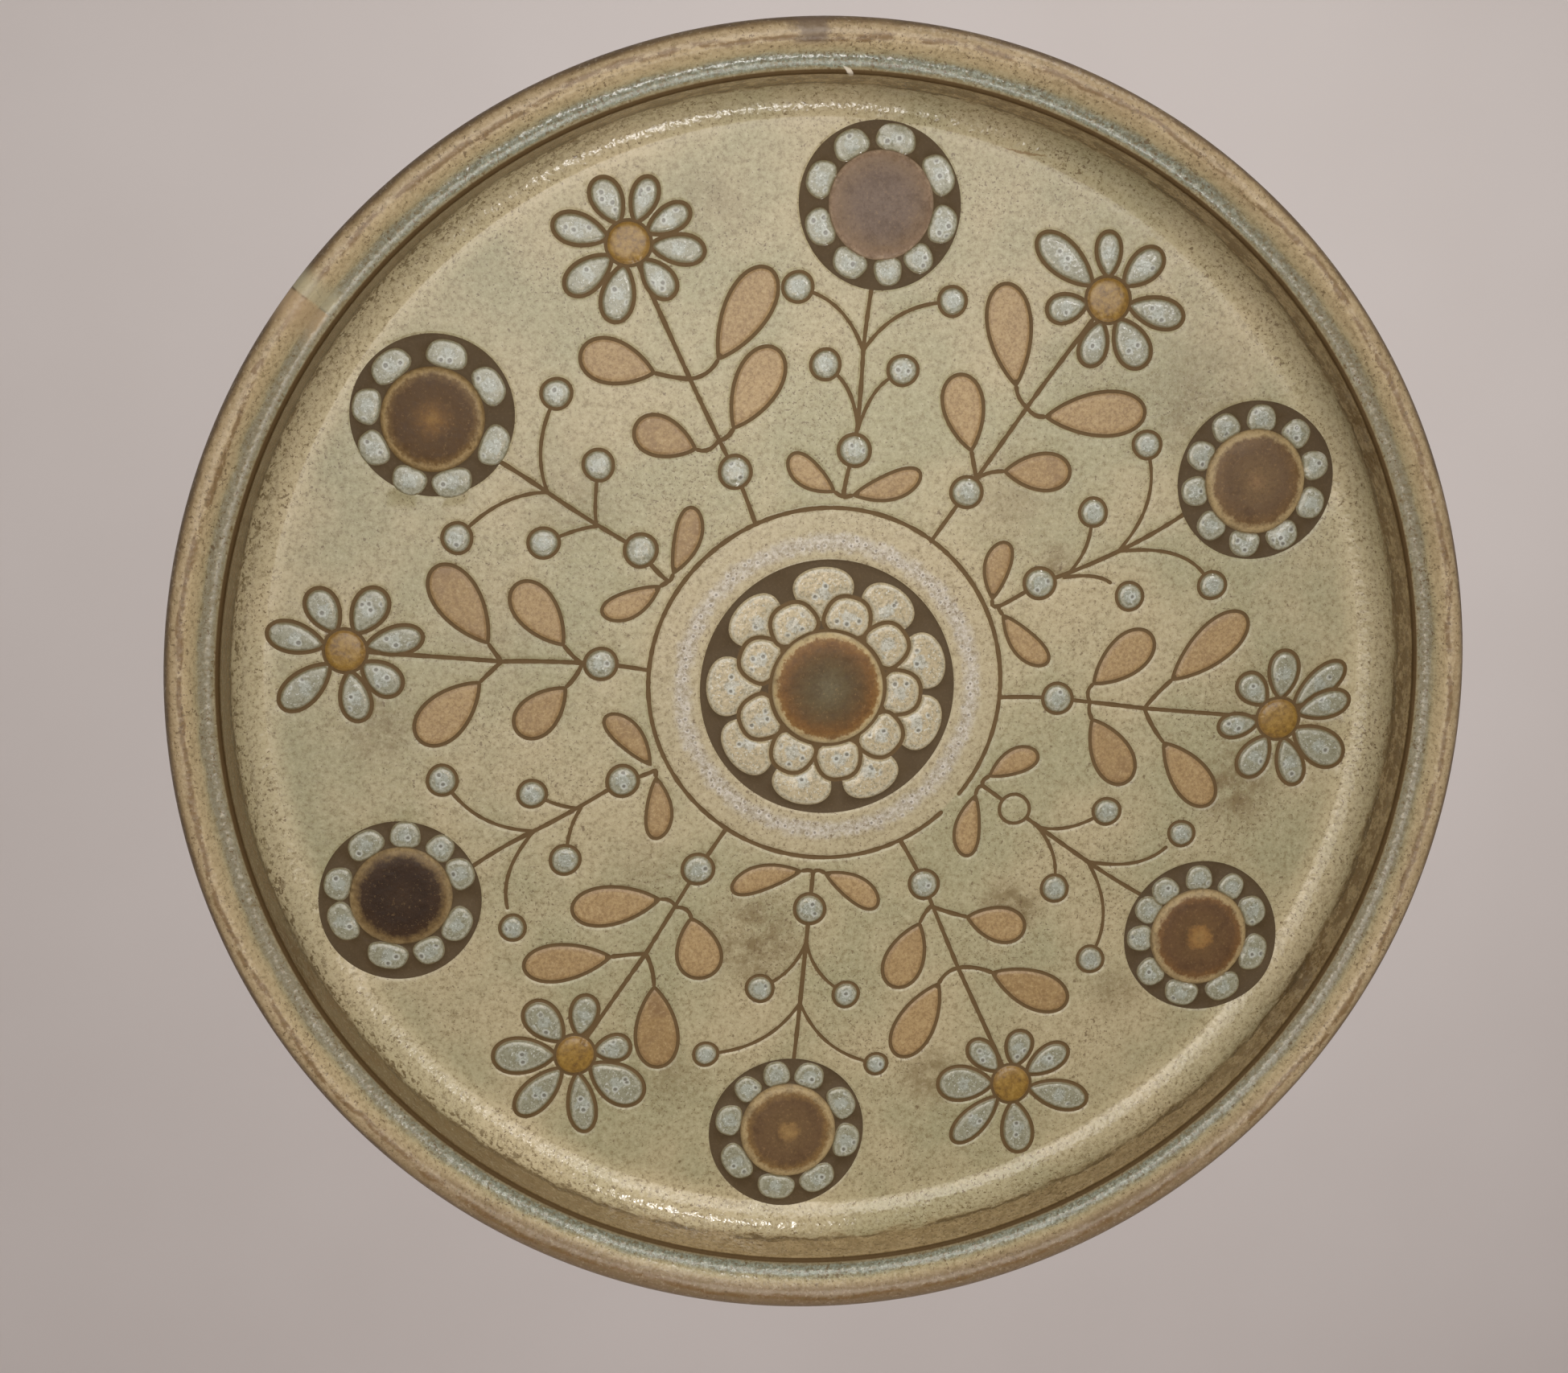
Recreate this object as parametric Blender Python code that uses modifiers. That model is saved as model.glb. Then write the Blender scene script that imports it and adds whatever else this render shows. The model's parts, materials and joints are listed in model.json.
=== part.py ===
"""Decorative wall plate: one fired stoneware dish with a rolled rim, a steep wall and a flat floor.

The dish is drawn lying on its foot, face up, with its centre on the Z axis and its floor at
height zero. An empty then hangs it on a wall: the face looks along -Y, up is +Z, and the
origin is on the flat back of the foot ring, at the top of the ring, where the wall is at y = 0.
All sizes are in metres. Places in the ornament are a clock angle (clockwise from the top of
the hung plate, seen from the front) and a distance from the centre.
"""

import math
from typing import NamedTuple

import bmesh
import bpy
from mathutils import Matrix, Vector

# Turned body
PLATE_RADIUS = 0.200
RIM_WIDTH = 0.01575
RIM_CROWN_INSET = 0.005
RIM_GROOVE_WIDTH = 0.0035
RIM_GROOVE_DEPTH = 0.0006
LIP_DROP = 0.0045
WALL_BATTER = 0.00075
COVE_RADIUS = 0.0095
WELL_DEPTH = 0.0265
WALL_THICKNESS = 0.0080
FLOOR_THICKNESS = 0.0085
OUTER_CURVE_RADIUS = 0.0160
ROLL_BACK_DEPTH = 0.0100
FOOT_RADIUS = 0.127
FOOT_WIDTH = 0.008
FOOT_HEIGHT = 0.0065
FOOT_TAPER = 0.0008
TURN_SEGMENTS = 64
CURVE_SEGMENTS = 3

# Two holes through the foot ring for a hanging wire
WIRE_HOLE_DIAMETER = 0.0034
WIRE_HOLE_CLOCK_ANGLE = 22.0
WIRE_HOLE_SIDES = 12
WIRE_HOLE_OVERRUN = 0.004

# Medallion flowers: a domed disc in a ring of beads
DISC_RADIUS = 0.0160
DISC_HEIGHT = 0.0016
BEAD_HALF_DEPTH = 0.0032
BEAD_HALF_SPAN = 0.0042
BEAD_HEIGHT = 0.0011
DISC_TO_BEAD_GAP = 0.0010
MEDALLION_BORDER = 0.0020
WREATH_MARGIN = 0.0071

# Daisies: a button in a ring of petals
BUTTON_RADIUS = 0.0066
BUTTON_HEIGHT = 0.0010
PETAL_LENGTH = 0.0140
PETAL_HALF_WIDTH = 0.0041
PETAL_HEIGHT = 0.0010
BUTTON_TO_PETAL_GAP = 0.0016
PETAL_LENGTH_WAVE = 0.0018

# Berries and the beads on the stems
BERRY_RADIUS = 0.0043
BERRY_HEIGHT = 0.0010
UPPER_BERRY_DROP = 0.0275
UPPER_BERRY_SPREAD = 0.0260
LOWER_BERRY_DROP = 0.0510
LOWER_BERRY_SPREAD = 0.0142
STEM_BEAD_RADIUS = 0.0047
STEM_BEAD_RISE = 0.0180

# Rosette in the middle, inside its ring line
RING_LINE_RADIUS = 0.0565
ROSETTE_DISC_RADIUS = 0.0172
ROSETTE_DISC_HEIGHT = 0.0018
ROSETTE_PETALS = 9
ROSETTE_FIRST_ANGLE = 16.0
INNER_PETAL_HALF_DEPTH = 0.0049
INNER_PETAL_HALF_SPAN = 0.0053
OUTER_PETAL_HALF_DEPTH = 0.0043
OUTER_PETAL_HALF_SPAN = 0.0072
ROSETTE_PETAL_HEIGHT = 0.0009
ROSETTE_GAP = 0.0010

DOME_SINK = 0.0003
FINE_SIDES = 20
COARSE_SIDES = 10
DOME_RINGS = 4

FULL_TURN = 360.0
MERGE_DISTANCE = 0.00001
COPLANAR_ANGLE = math.radians(0.05)


class Flower(NamedTuple):
    """One flower of the wreath: where it sits, and how many petals or beads ring it."""

    clock_angle: float
    outward_shift: float
    count: int
    first_angle: float


# The flowers were set out by eye, so each has its own small shift and its own count.
MEDALLIONS = (
    Flower(6.1, -0.0009, 9, 7.0),
    Flower(64.9, 0.0015, 10, 10.0),
    Flower(124.4, 0.0018, 10, 27.0),
    Flower(184.9, -0.0007, 9, 6.0),
    Flower(244.0, 0.0007, 9, 1.0),
    Flower(305.4, -0.0025, 8, 17.0),
)
DAISIES = (
    Flower(36.0, -0.0011, 7, 14.0),
    Flower(95.0, -0.0011, 8, 24.0),
    Flower(155.2, -0.0014, 7, 16.0),
    Flower(214.4, -0.0056, 7, 8.0),
    Flower(275.3, -0.0002, 7, 10.0),
    Flower(336.1, -0.0006, 8, -2.0),
)
UNFILLED_STEM_BEAD = 2


def lip_radius() -> float:
    """Radius of the sharp lip where the rim turns down into the well."""
    return PLATE_RADIUS - RIM_WIDTH


def wall_radius() -> float:
    """Radius of the well's wall at the top of the cove."""
    return lip_radius() - WALL_BATTER


def floor_radius() -> float:
    """Radius of the flat floor, up to the start of the cove."""
    return wall_radius() - COVE_RADIUS


def bead_ring_radius() -> float:
    """Distance from a medallion's middle to the middles of its beads."""
    return DISC_RADIUS + DISC_TO_BEAD_GAP + BEAD_HALF_DEPTH


def medallion_radius() -> float:
    """Outer radius of a medallion's bare field."""
    return bead_ring_radius() + BEAD_HALF_DEPTH + MEDALLION_BORDER


def wreath_radius() -> float:
    """Distance from the plate's centre to the middles of the flowers."""
    return wall_radius() - WREATH_MARGIN - medallion_radius()


def inner_petal_radius() -> float:
    """Distance from the centre to the middles of the rosette's inner petals."""
    return ROSETTE_DISC_RADIUS + ROSETTE_GAP + INNER_PETAL_HALF_DEPTH


def outer_petal_radius() -> float:
    """Distance from the centre to the middles of the rosette's outer petals."""
    return inner_petal_radius() + INNER_PETAL_HALF_DEPTH + ROSETTE_GAP / 2 + OUTER_PETAL_HALF_DEPTH


def arc(centre_radius, centre_height, size, start, end, steps):
    """Points of an arc in the profile's plane, from one angle in degrees to the other."""
    points = []
    for step in range(steps + 1):
        angle = math.radians(start + (end - start) * step / steps)
        points.append((centre_radius + size * math.cos(angle), centre_height + size * math.sin(angle)))
    return points


def plate_profile():
    """The turned outline, as (radius, height) from the floor's centre round to the back's centre."""
    crown_radius = PLATE_RADIUS - RIM_CROWN_INSET
    lip_height = WELL_DEPTH - LIP_DROP
    groove_radius = lip_radius() + RIM_GROOVE_WIDTH
    groove_height = lip_height - RIM_GROOVE_DEPTH
    slope_radius = (groove_radius + crown_radius) / 2
    slope_height = (groove_height + WELL_DEPTH) / 2
    outer_radius = lip_radius() + WALL_THICKNESS
    back_height = -FLOOR_THICKNESS
    foot_outer = FOOT_RADIUS + FOOT_WIDTH / 2
    foot_inner = FOOT_RADIUS - FOOT_WIDTH / 2
    foot_height = back_height - FOOT_HEIGHT

    profile = [(0.0, 0.0)]
    profile += arc(floor_radius(), COVE_RADIUS, COVE_RADIUS, -90, 0, CURVE_SEGMENTS)
    profile.append((lip_radius(), lip_height))
    profile.append((groove_radius, groove_height))
    profile.append((slope_radius, slope_height))
    profile += arc(crown_radius, WELL_DEPTH - RIM_CROWN_INSET, RIM_CROWN_INSET, 90, -45, CURVE_SEGMENTS)
    profile.append((outer_radius, WELL_DEPTH - ROLL_BACK_DEPTH))
    profile += arc(
        outer_radius - OUTER_CURVE_RADIUS, back_height + OUTER_CURVE_RADIUS, OUTER_CURVE_RADIUS,
        0, -90, CURVE_SEGMENTS,
    )
    profile.append((foot_outer + FOOT_TAPER, back_height))
    profile.append((foot_outer, foot_height))
    profile.append((foot_inner, foot_height))
    profile.append((foot_inner - FOOT_TAPER, back_height))
    profile.append((0.0, back_height))
    return profile


def clock_point(clock_angle, distance, sideways=0.0):
    """A place on the plate: out along a clock angle, then sideways to the clockwise side."""
    angle = math.radians(clock_angle)
    outward = Vector((math.sin(angle), math.cos(angle), 0.0))
    clockwise = Vector((math.cos(angle), -math.sin(angle), 0.0))
    return outward * distance + clockwise * sideways


def add_dome(mesh, place, half_span, half_depth, height, clock_angle, sides=COARSE_SIDES):
    """Adds one low oval dome of raised glaze to a mesh under construction.

    Its span lies across the clock angle, its depth along it, and its widest line is sunk
    a little under the floor, so that it joins the floor cleanly.
    """
    turn = Matrix.Rotation(math.radians(-clock_angle), 4, "Z")
    size = Matrix.Diagonal((half_span, half_depth, height + DOME_SINK, 1.0))
    seat = Matrix.Translation(place - Vector((0.0, 0.0, DOME_SINK)))
    bmesh.ops.create_uvsphere(
        mesh, u_segments=sides, v_segments=DOME_RINGS, radius=1.0, matrix=seat @ turn @ size,
    )


def add_medallion(mesh, flower):
    """Adds one medallion flower: its disc and the beads round it."""
    middle = clock_point(flower.clock_angle, wreath_radius() + flower.outward_shift)
    add_dome(mesh, middle, DISC_RADIUS, DISC_RADIUS, DISC_HEIGHT, 0.0, FINE_SIDES)
    for index in range(flower.count):
        angle = flower.clock_angle + flower.first_angle + FULL_TURN * index / flower.count
        place = middle + clock_point(angle, bead_ring_radius())
        add_dome(mesh, place, BEAD_HALF_SPAN, BEAD_HALF_DEPTH, BEAD_HEIGHT, angle)


def add_daisy(mesh, flower):
    """Adds one daisy: its button and its petals, longer on one side and shorter on the other."""
    middle = clock_point(flower.clock_angle, wreath_radius() + flower.outward_shift)
    add_dome(mesh, middle, BUTTON_RADIUS, BUTTON_RADIUS, BUTTON_HEIGHT, 0.0)
    for index in range(flower.count):
        share = index / flower.count
        angle = flower.clock_angle + flower.first_angle + FULL_TURN * share
        length = PETAL_LENGTH + PETAL_LENGTH_WAVE * math.cos(math.tau * share)
        distance = BUTTON_RADIUS + BUTTON_TO_PETAL_GAP + length / 2
        place = middle + clock_point(angle, distance)
        add_dome(mesh, place, PETAL_HALF_WIDTH, length / 2, PETAL_HEIGHT, angle)


def add_berries(mesh, flower):
    """Adds the two pairs of berries on the twigs under one medallion."""
    pairs = (
        (UPPER_BERRY_DROP, UPPER_BERRY_SPREAD),
        (LOWER_BERRY_DROP, LOWER_BERRY_SPREAD),
    )
    for drop, spread in pairs:
        for side in (-1, 1):
            place = clock_point(flower.clock_angle, wreath_radius() - drop, side * spread)
            add_dome(mesh, place, BERRY_RADIUS, BERRY_RADIUS, BERRY_HEIGHT, flower.clock_angle)


def add_stem_bead(mesh, flower):
    """Adds the bead low on one flower's stem, just outside the ring line."""
    place = clock_point(flower.clock_angle, RING_LINE_RADIUS + STEM_BEAD_RISE)
    add_dome(mesh, place, STEM_BEAD_RADIUS, STEM_BEAD_RADIUS, BERRY_HEIGHT, flower.clock_angle)


def add_rosette(mesh):
    """Adds the rosette in the middle: a disc and two rings of petals, half a step apart."""
    centre = Vector((0.0, 0.0, 0.0))
    add_dome(mesh, centre, ROSETTE_DISC_RADIUS, ROSETTE_DISC_RADIUS, ROSETTE_DISC_HEIGHT, 0.0, FINE_SIDES)
    step = FULL_TURN / ROSETTE_PETALS
    for index in range(ROSETTE_PETALS):
        inner_angle = ROSETTE_FIRST_ANGLE + step * index
        outer_angle = inner_angle + step / 2
        inner_place = clock_point(inner_angle, inner_petal_radius())
        outer_place = clock_point(outer_angle, outer_petal_radius())
        add_dome(
            mesh, inner_place, INNER_PETAL_HALF_SPAN, INNER_PETAL_HALF_DEPTH,
            ROSETTE_PETAL_HEIGHT, inner_angle,
        )
        add_dome(
            mesh, outer_place, OUTER_PETAL_HALF_SPAN, OUTER_PETAL_HALF_DEPTH,
            ROSETTE_PETAL_HEIGHT, outer_angle,
        )


def make_object(name, mesh, collection, parent):
    """Makes an object in a collection, hung from the empty."""
    item = bpy.data.objects.new(name, mesh)
    collection.objects.link(item)
    item.parent = parent
    return item


def make_cutter(name, builder, collection, parent):
    """Makes a hidden, smooth helper object whose mesh is filled in by a bmesh."""
    for face in builder.faces:
        face.smooth = True
    mesh = bpy.data.meshes.new(name)
    builder.to_mesh(mesh)
    builder.free()
    item = make_object(name, mesh, collection, parent)
    item.hide_render = True
    item.display_type = "WIRE"
    return item


def build_raised_glaze(collection, parent):
    """All the raised glaze of the ornament, as one helper that is joined to the plate."""
    builder = bmesh.new()
    add_rosette(builder)
    for flower in MEDALLIONS:
        add_medallion(builder, flower)
        add_berries(builder, flower)
    for flower in DAISIES:
        add_daisy(builder, flower)
    for index, flower in enumerate(MEDALLIONS):
        if index != UNFILLED_STEM_BEAD:
            add_stem_bead(builder, flower)
    for flower in DAISIES:
        add_stem_bead(builder, flower)
    return make_cutter("raised_glaze", builder, collection, parent)


def build_wire_holes(collection, parent):
    """Two round cutters that run outwards through the foot ring, left and right of its top."""
    builder = bmesh.new()
    height = -FLOOR_THICKNESS - FOOT_HEIGHT / 2
    length = FOOT_WIDTH + 2 * FOOT_TAPER + 2 * WIRE_HOLE_OVERRUN
    for side in (-1, 1):
        clock_angle = side * WIRE_HOLE_CLOCK_ANGLE
        place = clock_point(clock_angle, FOOT_RADIUS) + Vector((0.0, 0.0, height))
        lay_down = Matrix.Rotation(math.radians(90.0), 4, "X")
        turn = Matrix.Rotation(math.radians(-clock_angle), 4, "Z")
        bmesh.ops.create_cone(
            builder, cap_ends=True, segments=WIRE_HOLE_SIDES, depth=length,
            radius1=WIRE_HOLE_DIAMETER / 2, radius2=WIRE_HOLE_DIAMETER / 2,
            matrix=Matrix.Translation(place) @ turn @ lay_down,
        )
    return make_cutter("wire_holes", builder, collection, parent)


def glazed_stoneware():
    """The plate's finish: a glossy cream to sage glaze."""
    material = bpy.data.materials.new("glazed_stoneware")
    material.use_nodes = True
    shader = material.node_tree.nodes["Principled BSDF"]
    shader.inputs["Base Color"].default_value = (0.48, 0.43, 0.27, 1.0)
    shader.inputs["Roughness"].default_value = 0.28
    shader.inputs["Metallic"].default_value = 0.0
    return material


def build_plate(collection, parent, raised_glaze, wire_holes):
    """The plate: its profile turned about the axis, with the glaze joined and the holes cut."""
    points = [(radius, 0.0, height) for radius, height in plate_profile()]
    edges = [(index, index + 1) for index in range(len(points) - 1)]
    mesh = bpy.data.meshes.new("plate")
    mesh.from_pydata(points, edges, [])
    plate = make_object("plate", mesh, collection, parent)
    mesh.materials.append(glazed_stoneware())

    screw = plate.modifiers.new("turning", "SCREW")
    screw.axis = "Z"
    screw.steps = TURN_SEGMENTS
    screw.render_steps = TURN_SEGMENTS
    screw.use_merge_vertices = True
    screw.merge_threshold = MERGE_DISTANCE
    screw.use_smooth_shade = True

    flat_faces = plate.modifiers.new("flat_faces", "DECIMATE")
    flat_faces.decimate_type = "DISSOLVE"
    flat_faces.angle_limit = COPLANAR_ANGLE

    join = plate.modifiers.new("raised_glaze", "BOOLEAN")
    join.operation = "UNION"
    join.object = raised_glaze

    cut = plate.modifiers.new("wire_holes", "BOOLEAN")
    cut.operation = "DIFFERENCE"
    cut.object = wire_holes
    return plate


def main():
    """Clears the scene and builds the plate in its hung place."""
    for item in list(bpy.data.objects):
        bpy.data.objects.remove(item, do_unlink=True)

    parts = bpy.data.collections.new("decorative_wall_plate")
    cutters = bpy.data.collections.new("cutters")
    bpy.context.scene.collection.children.link(parts)
    bpy.context.scene.collection.children.link(cutters)

    hanger = bpy.data.objects.new("hung_on_wall", None)
    parts.objects.link(hanger)
    hanger.rotation_euler = (math.radians(90.0), 0.0, 0.0)
    hanger.location = (0.0, -FLOOR_THICKNESS - FOOT_HEIGHT, -FOOT_RADIUS)

    raised_glaze = build_raised_glaze(cutters, hanger)
    wire_holes = build_wire_holes(cutters, hanger)
    build_plate(parts, hanger, raised_glaze, wire_holes)


main()
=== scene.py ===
"""Looks of the decorative wall plate: turned stoneware with raised glazes on its floor.

The plate hangs on a wall with its face along -Y. Sizes of the ornament are in millimetres from the
middle of the plate, X to the right and Z up, and are turned into metres in the row frame when the
mesh is made. A spray of the wreath is drawn upright in its own straight coordinates (across the
spray and outward from the middle of the plate) and then turned to its clock angle.
"""

import json
import logging
import math
import random
from collections.abc import Iterable, Sequence
from dataclasses import dataclass, field
from enum import Enum
from functools import cached_property
from operator import mul

import bmesh
import bpy
import numpy as np
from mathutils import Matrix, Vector, geometry, kdtree

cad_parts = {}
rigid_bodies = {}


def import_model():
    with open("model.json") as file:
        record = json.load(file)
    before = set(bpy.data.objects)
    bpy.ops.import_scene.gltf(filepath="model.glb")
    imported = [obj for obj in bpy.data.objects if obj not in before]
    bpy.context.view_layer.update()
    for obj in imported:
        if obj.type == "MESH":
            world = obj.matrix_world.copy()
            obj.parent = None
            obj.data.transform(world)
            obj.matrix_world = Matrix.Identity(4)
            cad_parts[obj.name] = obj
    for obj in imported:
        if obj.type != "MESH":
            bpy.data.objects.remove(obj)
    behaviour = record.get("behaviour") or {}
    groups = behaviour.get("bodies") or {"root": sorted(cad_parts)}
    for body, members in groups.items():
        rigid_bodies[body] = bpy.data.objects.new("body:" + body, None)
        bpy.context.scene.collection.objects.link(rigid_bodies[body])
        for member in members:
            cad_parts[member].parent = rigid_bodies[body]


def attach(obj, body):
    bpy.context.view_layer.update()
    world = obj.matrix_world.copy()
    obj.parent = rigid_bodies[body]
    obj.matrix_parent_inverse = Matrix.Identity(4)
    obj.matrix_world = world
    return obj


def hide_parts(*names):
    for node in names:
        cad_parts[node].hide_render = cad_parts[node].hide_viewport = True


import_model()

LOG = logging.getLogger("wall_plate")
MM = 0.001
Point = tuple[float, float]
Triple = tuple[float, float, float]
Outline = list[Point]
Colour = tuple[float, float, float, float]
Stops = tuple[tuple[float, Colour], ...]

# Where the floor's plane and the middle of the plate lie in the row frame, in metres.
FLOOR_PLANE = -0.015
PLATE_MIDDLE = -0.127
# The floor's edge and the cove that starts inside it, in millimetres from the middle.
FLOOR_EDGE = 180.0
COVE_START = 174.0
COVE_RADIUS = 9.5
# Where streaks of glaze on the wall and rim are measured.
WALL_RADIUS = 190.0
TURN_STEPS = 288
# Distance between neighbouring points of an outline.
OUTLINE_STEP = 1.15
# Least and greatest share of its width that a brushed line has.
BRUSH_PRESSURE = (0.86, 1.16)
# Distances stored on the mesh go up to this.
FAR = 12.0
BARE_LEVEL = -0.3
# Tone of the bare fields, which are darker than the lines.
FIELD_TONE = 2.0


def srgb(red: int, green: int, blue: int) -> Colour:
    """Turns a display colour into the linear colour that shaders use.

    Args:
        red: Red, 0 to 255.
        green: Green, 0 to 255.
        blue: Blue, 0 to 255.

    Returns:
        Linear red, green, blue and an alpha of one.
    """
    linear = []
    for channel in (red, green, blue):
        share = channel / 255.0
        linear.append(share / 12.92 if share <= 0.04045 else ((share + 0.055) / 1.055) ** 2.4)
    return (linear[0], linear[1], linear[2], 1.0)


def tint_stops(*rows: tuple[float, int, int, int]) -> Stops:
    """Makes the stops of a colour ramp from rows of a place and a display colour."""
    return tuple((place, srgb(red, green, blue)) for place, red, green, blue in rows)


class Coat(Enum):
    """What a patch of the floor is covered with."""

    GROUND = "ground"
    BARE = "bare_clay"
    LEAF = "leaf"
    PALE = "pale_glaze"
    CREAM = "cream_glaze"
    BUTTON = "button"
    LILAC_DISC = "lilac_disc"
    BROWN_DISC = "brown_disc"
    RICH_DISC = "rich_disc"
    UMBER_DISC = "umber_disc"
    BLACK_DISC = "black_disc"
    OLIVE_DISC = "olive_disc"
    ROSETTE_DISC = "rosette_disc"


@dataclass(frozen=True)
class Rise:
    """How high a coat stands over the floor, and how far in from its edge it gets there."""

    height: float
    reach: float


RISES = {
    Coat.GROUND: Rise(0.0, 0.7),
    Coat.LEAF: Rise(0.05, 0.8),
    Coat.PALE: Rise(0.45, 1.5),
    Coat.CREAM: Rise(0.3, 1.2),
    Coat.BUTTON: Rise(0.7, 3.0),
    Coat.ROSETTE_DISC: Rise(1.2, 4.5),
}
DISC_RISE = Rise(1.1, 3.6)


@dataclass(frozen=True)
class Patch:
    """One closed shape on the floor, painted over the shapes before it."""

    outline: Outline
    coat: Coat
    tone: float = 0.5


@dataclass(frozen=True)
class Upright:
    """Straight coordinates of one spray, turned to its clock angle."""

    clock_angle: float

    def place(self, across: float, outward: float) -> Point:
        """Finds a place of the spray on the plate.

        Args:
            across: Distance to the right of the spray's middle line.
            outward: Distance from the middle of the plate.

        Returns:
            Place on the plate.
        """
        turn = math.radians(self.clock_angle)
        return (
            outward * math.sin(turn) + across * math.cos(turn),
            outward * math.cos(turn) - across * math.sin(turn),
        )

    def turned(self, outline: Iterable[Point]) -> Outline:
        """Turns a whole outline of the spray onto the plate."""
        return [self.place(across, outward) for across, outward in outline]


def clock_direction(angle: float) -> Vector:
    """Direction at a clock angle in degrees, zero being up."""
    turn = math.radians(angle)
    return Vector((math.sin(turn), math.cos(turn)))


def ring_points(centre: Point, radius: float, rng: random.Random, wobble: float) -> Outline:
    """Draws a circle by hand, so very slightly out of round.

    Args:
        centre: Middle of the circle.
        radius: Radius of the circle.
        rng: Source of the wobble.
        wobble: Largest share by which the radius strays.

    Returns:
        Closed outline.
    """
    count = max(14, round(2 * math.pi * radius / OUTLINE_STEP))
    phase_two, phase_three = rng.uniform(0, math.tau), rng.uniform(0, math.tau)
    points = []
    for index in range(count):
        angle = math.tau * index / count
        stray = math.sin(2 * angle + phase_two) + 0.6 * math.sin(3 * angle + phase_three)
        reach = radius * (1 + wobble * stray)
        points.append((centre[0] + reach * math.sin(angle), centre[1] + reach * math.cos(angle)))
    return points


def drop_points(
    base: Point, tip: Point, width: float, fullness: float, bow: float = 0.0
) -> Outline:
    """Draws a teardrop: pointed at its base and round at its tip.

    Args:
        base: Pointed end.
        tip: Middle of the round end.
        width: Greatest width.
        fullness: Zero gives an oval; larger values push the belly towards the tip.
        bow: Sideways bend of the middle line, as a share of the length.

    Returns:
        Closed outline.
    """
    along = Vector((tip[0] - base[0], tip[1] - base[1]))
    length = along.length
    along.normalize()
    across = Vector((along.y, -along.x))
    widest = max(
        math.sin(t) * ((1 - math.cos(t)) / 2) ** fullness for t in np.linspace(0.1, 3.1, 60)
    )
    count = max(16, round((2 * length + width) / OUTLINE_STEP))
    points = []
    for index in range(count):
        turn = math.tau * index / count
        share = (1 - math.cos(turn)) / 2
        side = width / 2 * math.sin(turn) * share**fullness / widest
        bend = bow * length * math.sin(math.pi * share)
        place = Vector(base) + along * (length * share) + across * (side + bend)
        points.append((place.x, place.y))
    return evened(points, OUTLINE_STEP)


def block_points(centre: Point, angle: float, half_out: float, half_across: float) -> Outline:
    """Draws a bead: a rounded block, broad towards its flower's middle and narrower outward.

    Args:
        centre: Middle of the bead.
        angle: Direction from the flower's middle to the bead, clockwise from outward.
        half_out: Half its size along that direction.
        half_across: Half its size across that direction.

    Returns:
        Closed outline.
    """
    out = clock_direction(angle)
    across = Vector((out.y, -out.x))
    count, squareness, taper = 24, 0.78, 0.14
    points = []
    for index in range(count):
        turn = math.tau * index / count
        level, steep = math.cos(turn), math.sin(turn)
        along = half_out * math.copysign(abs(level) ** squareness, level)
        aside = half_across * math.copysign(abs(steep) ** squareness, steep)
        aside *= 1 - taper * along / half_out
        place = Vector(centre) + out * along + across * aside
        points.append((place.x, place.y))
    return evened(points, OUTLINE_STEP)


def evened(points: Sequence[Point], step: float) -> Outline:
    """Spaces the points of a closed outline evenly.

    Args:
        points: Closed outline.
        step: Wanted distance between neighbours.

    Returns:
        The same outline with evenly spaced points.
    """
    corners = np.array([*points, points[0]])
    lengths = np.hypot(*np.diff(corners, axis=0).T)
    run = np.concatenate([[0.0], np.cumsum(lengths)])
    count = max(8, round(run[-1] / step))
    wanted = np.linspace(0, run[-1], count, endpoint=False)
    xs, ys = np.interp(wanted, run, corners[:, 0]), np.interp(wanted, run, corners[:, 1])
    return list(zip(xs.tolist(), ys.tolist()))


def signed_area(points: Outline) -> float:
    """Area inside a closed outline, below zero if it runs clockwise.

    Args:
        points: The outline.

    Returns:
        The area in square millimetres.
    """
    corners = np.array(points)
    ahead = np.roll(corners, -1, axis=0)
    return float(np.sum(corners[:, 0] * ahead[:, 1] - ahead[:, 0] * corners[:, 1])) / 2


def offset(points: Outline, distance: float) -> np.ndarray:
    """Moves each point of a closed outline straight out of it.

    Args:
        points: Closed outline, clockwise or not.
        distance: How far; negative goes inside.

    Returns:
        The moved points.
    """
    corners = np.array(points)
    along = np.roll(corners, -1, axis=0) - np.roll(corners, 1, axis=0)
    along /= np.maximum(np.hypot(along[:, 0], along[:, 1]), 1e-9)[:, None]
    normal = np.stack([along[:, 1], -along[:, 0]], axis=1)
    return corners + normal * distance * math.copysign(1.0, signed_area(points))


def inset(points: Outline, width: float) -> Outline:
    """Draws the inner edge of a closed brushed line.

    Args:
        points: Outer edge of the line, clockwise or not.
        width: Width of the line.

    Returns:
        Inner edge, with the crossings near a sharp point left out.
    """
    corners, moved = np.array(points), offset(points, -width)
    gaps = moved[:, None, :] - corners[None, :, :]
    kept = moved[np.hypot(gaps[..., 0], gaps[..., 1]).min(axis=1) > 0.93 * width]
    return evened([tuple(p) for p in kept.tolist()], OUTLINE_STEP)


def curve_points(start: Point, bend: Point, end: Point) -> list[Point]:
    """Samples a smooth bow between two points.

    Args:
        start: First point.
        bend: Point that the bow leans towards.
        end: Last point.

    Returns:
        Points of the bow in order.
    """
    length = math.dist(start, bend) + math.dist(bend, end)
    count = max(3, round(length / (1.6 * OUTLINE_STEP)))
    points = []
    for index in range(count + 1):
        share = index / count
        rest = 1 - share
        pulls = (rest**2, 2 * share * rest, share * share)
        points.append(tuple(sum(map(mul, pulls, trio)) for trio in zip(start, bend, end)))
    return points


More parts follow.
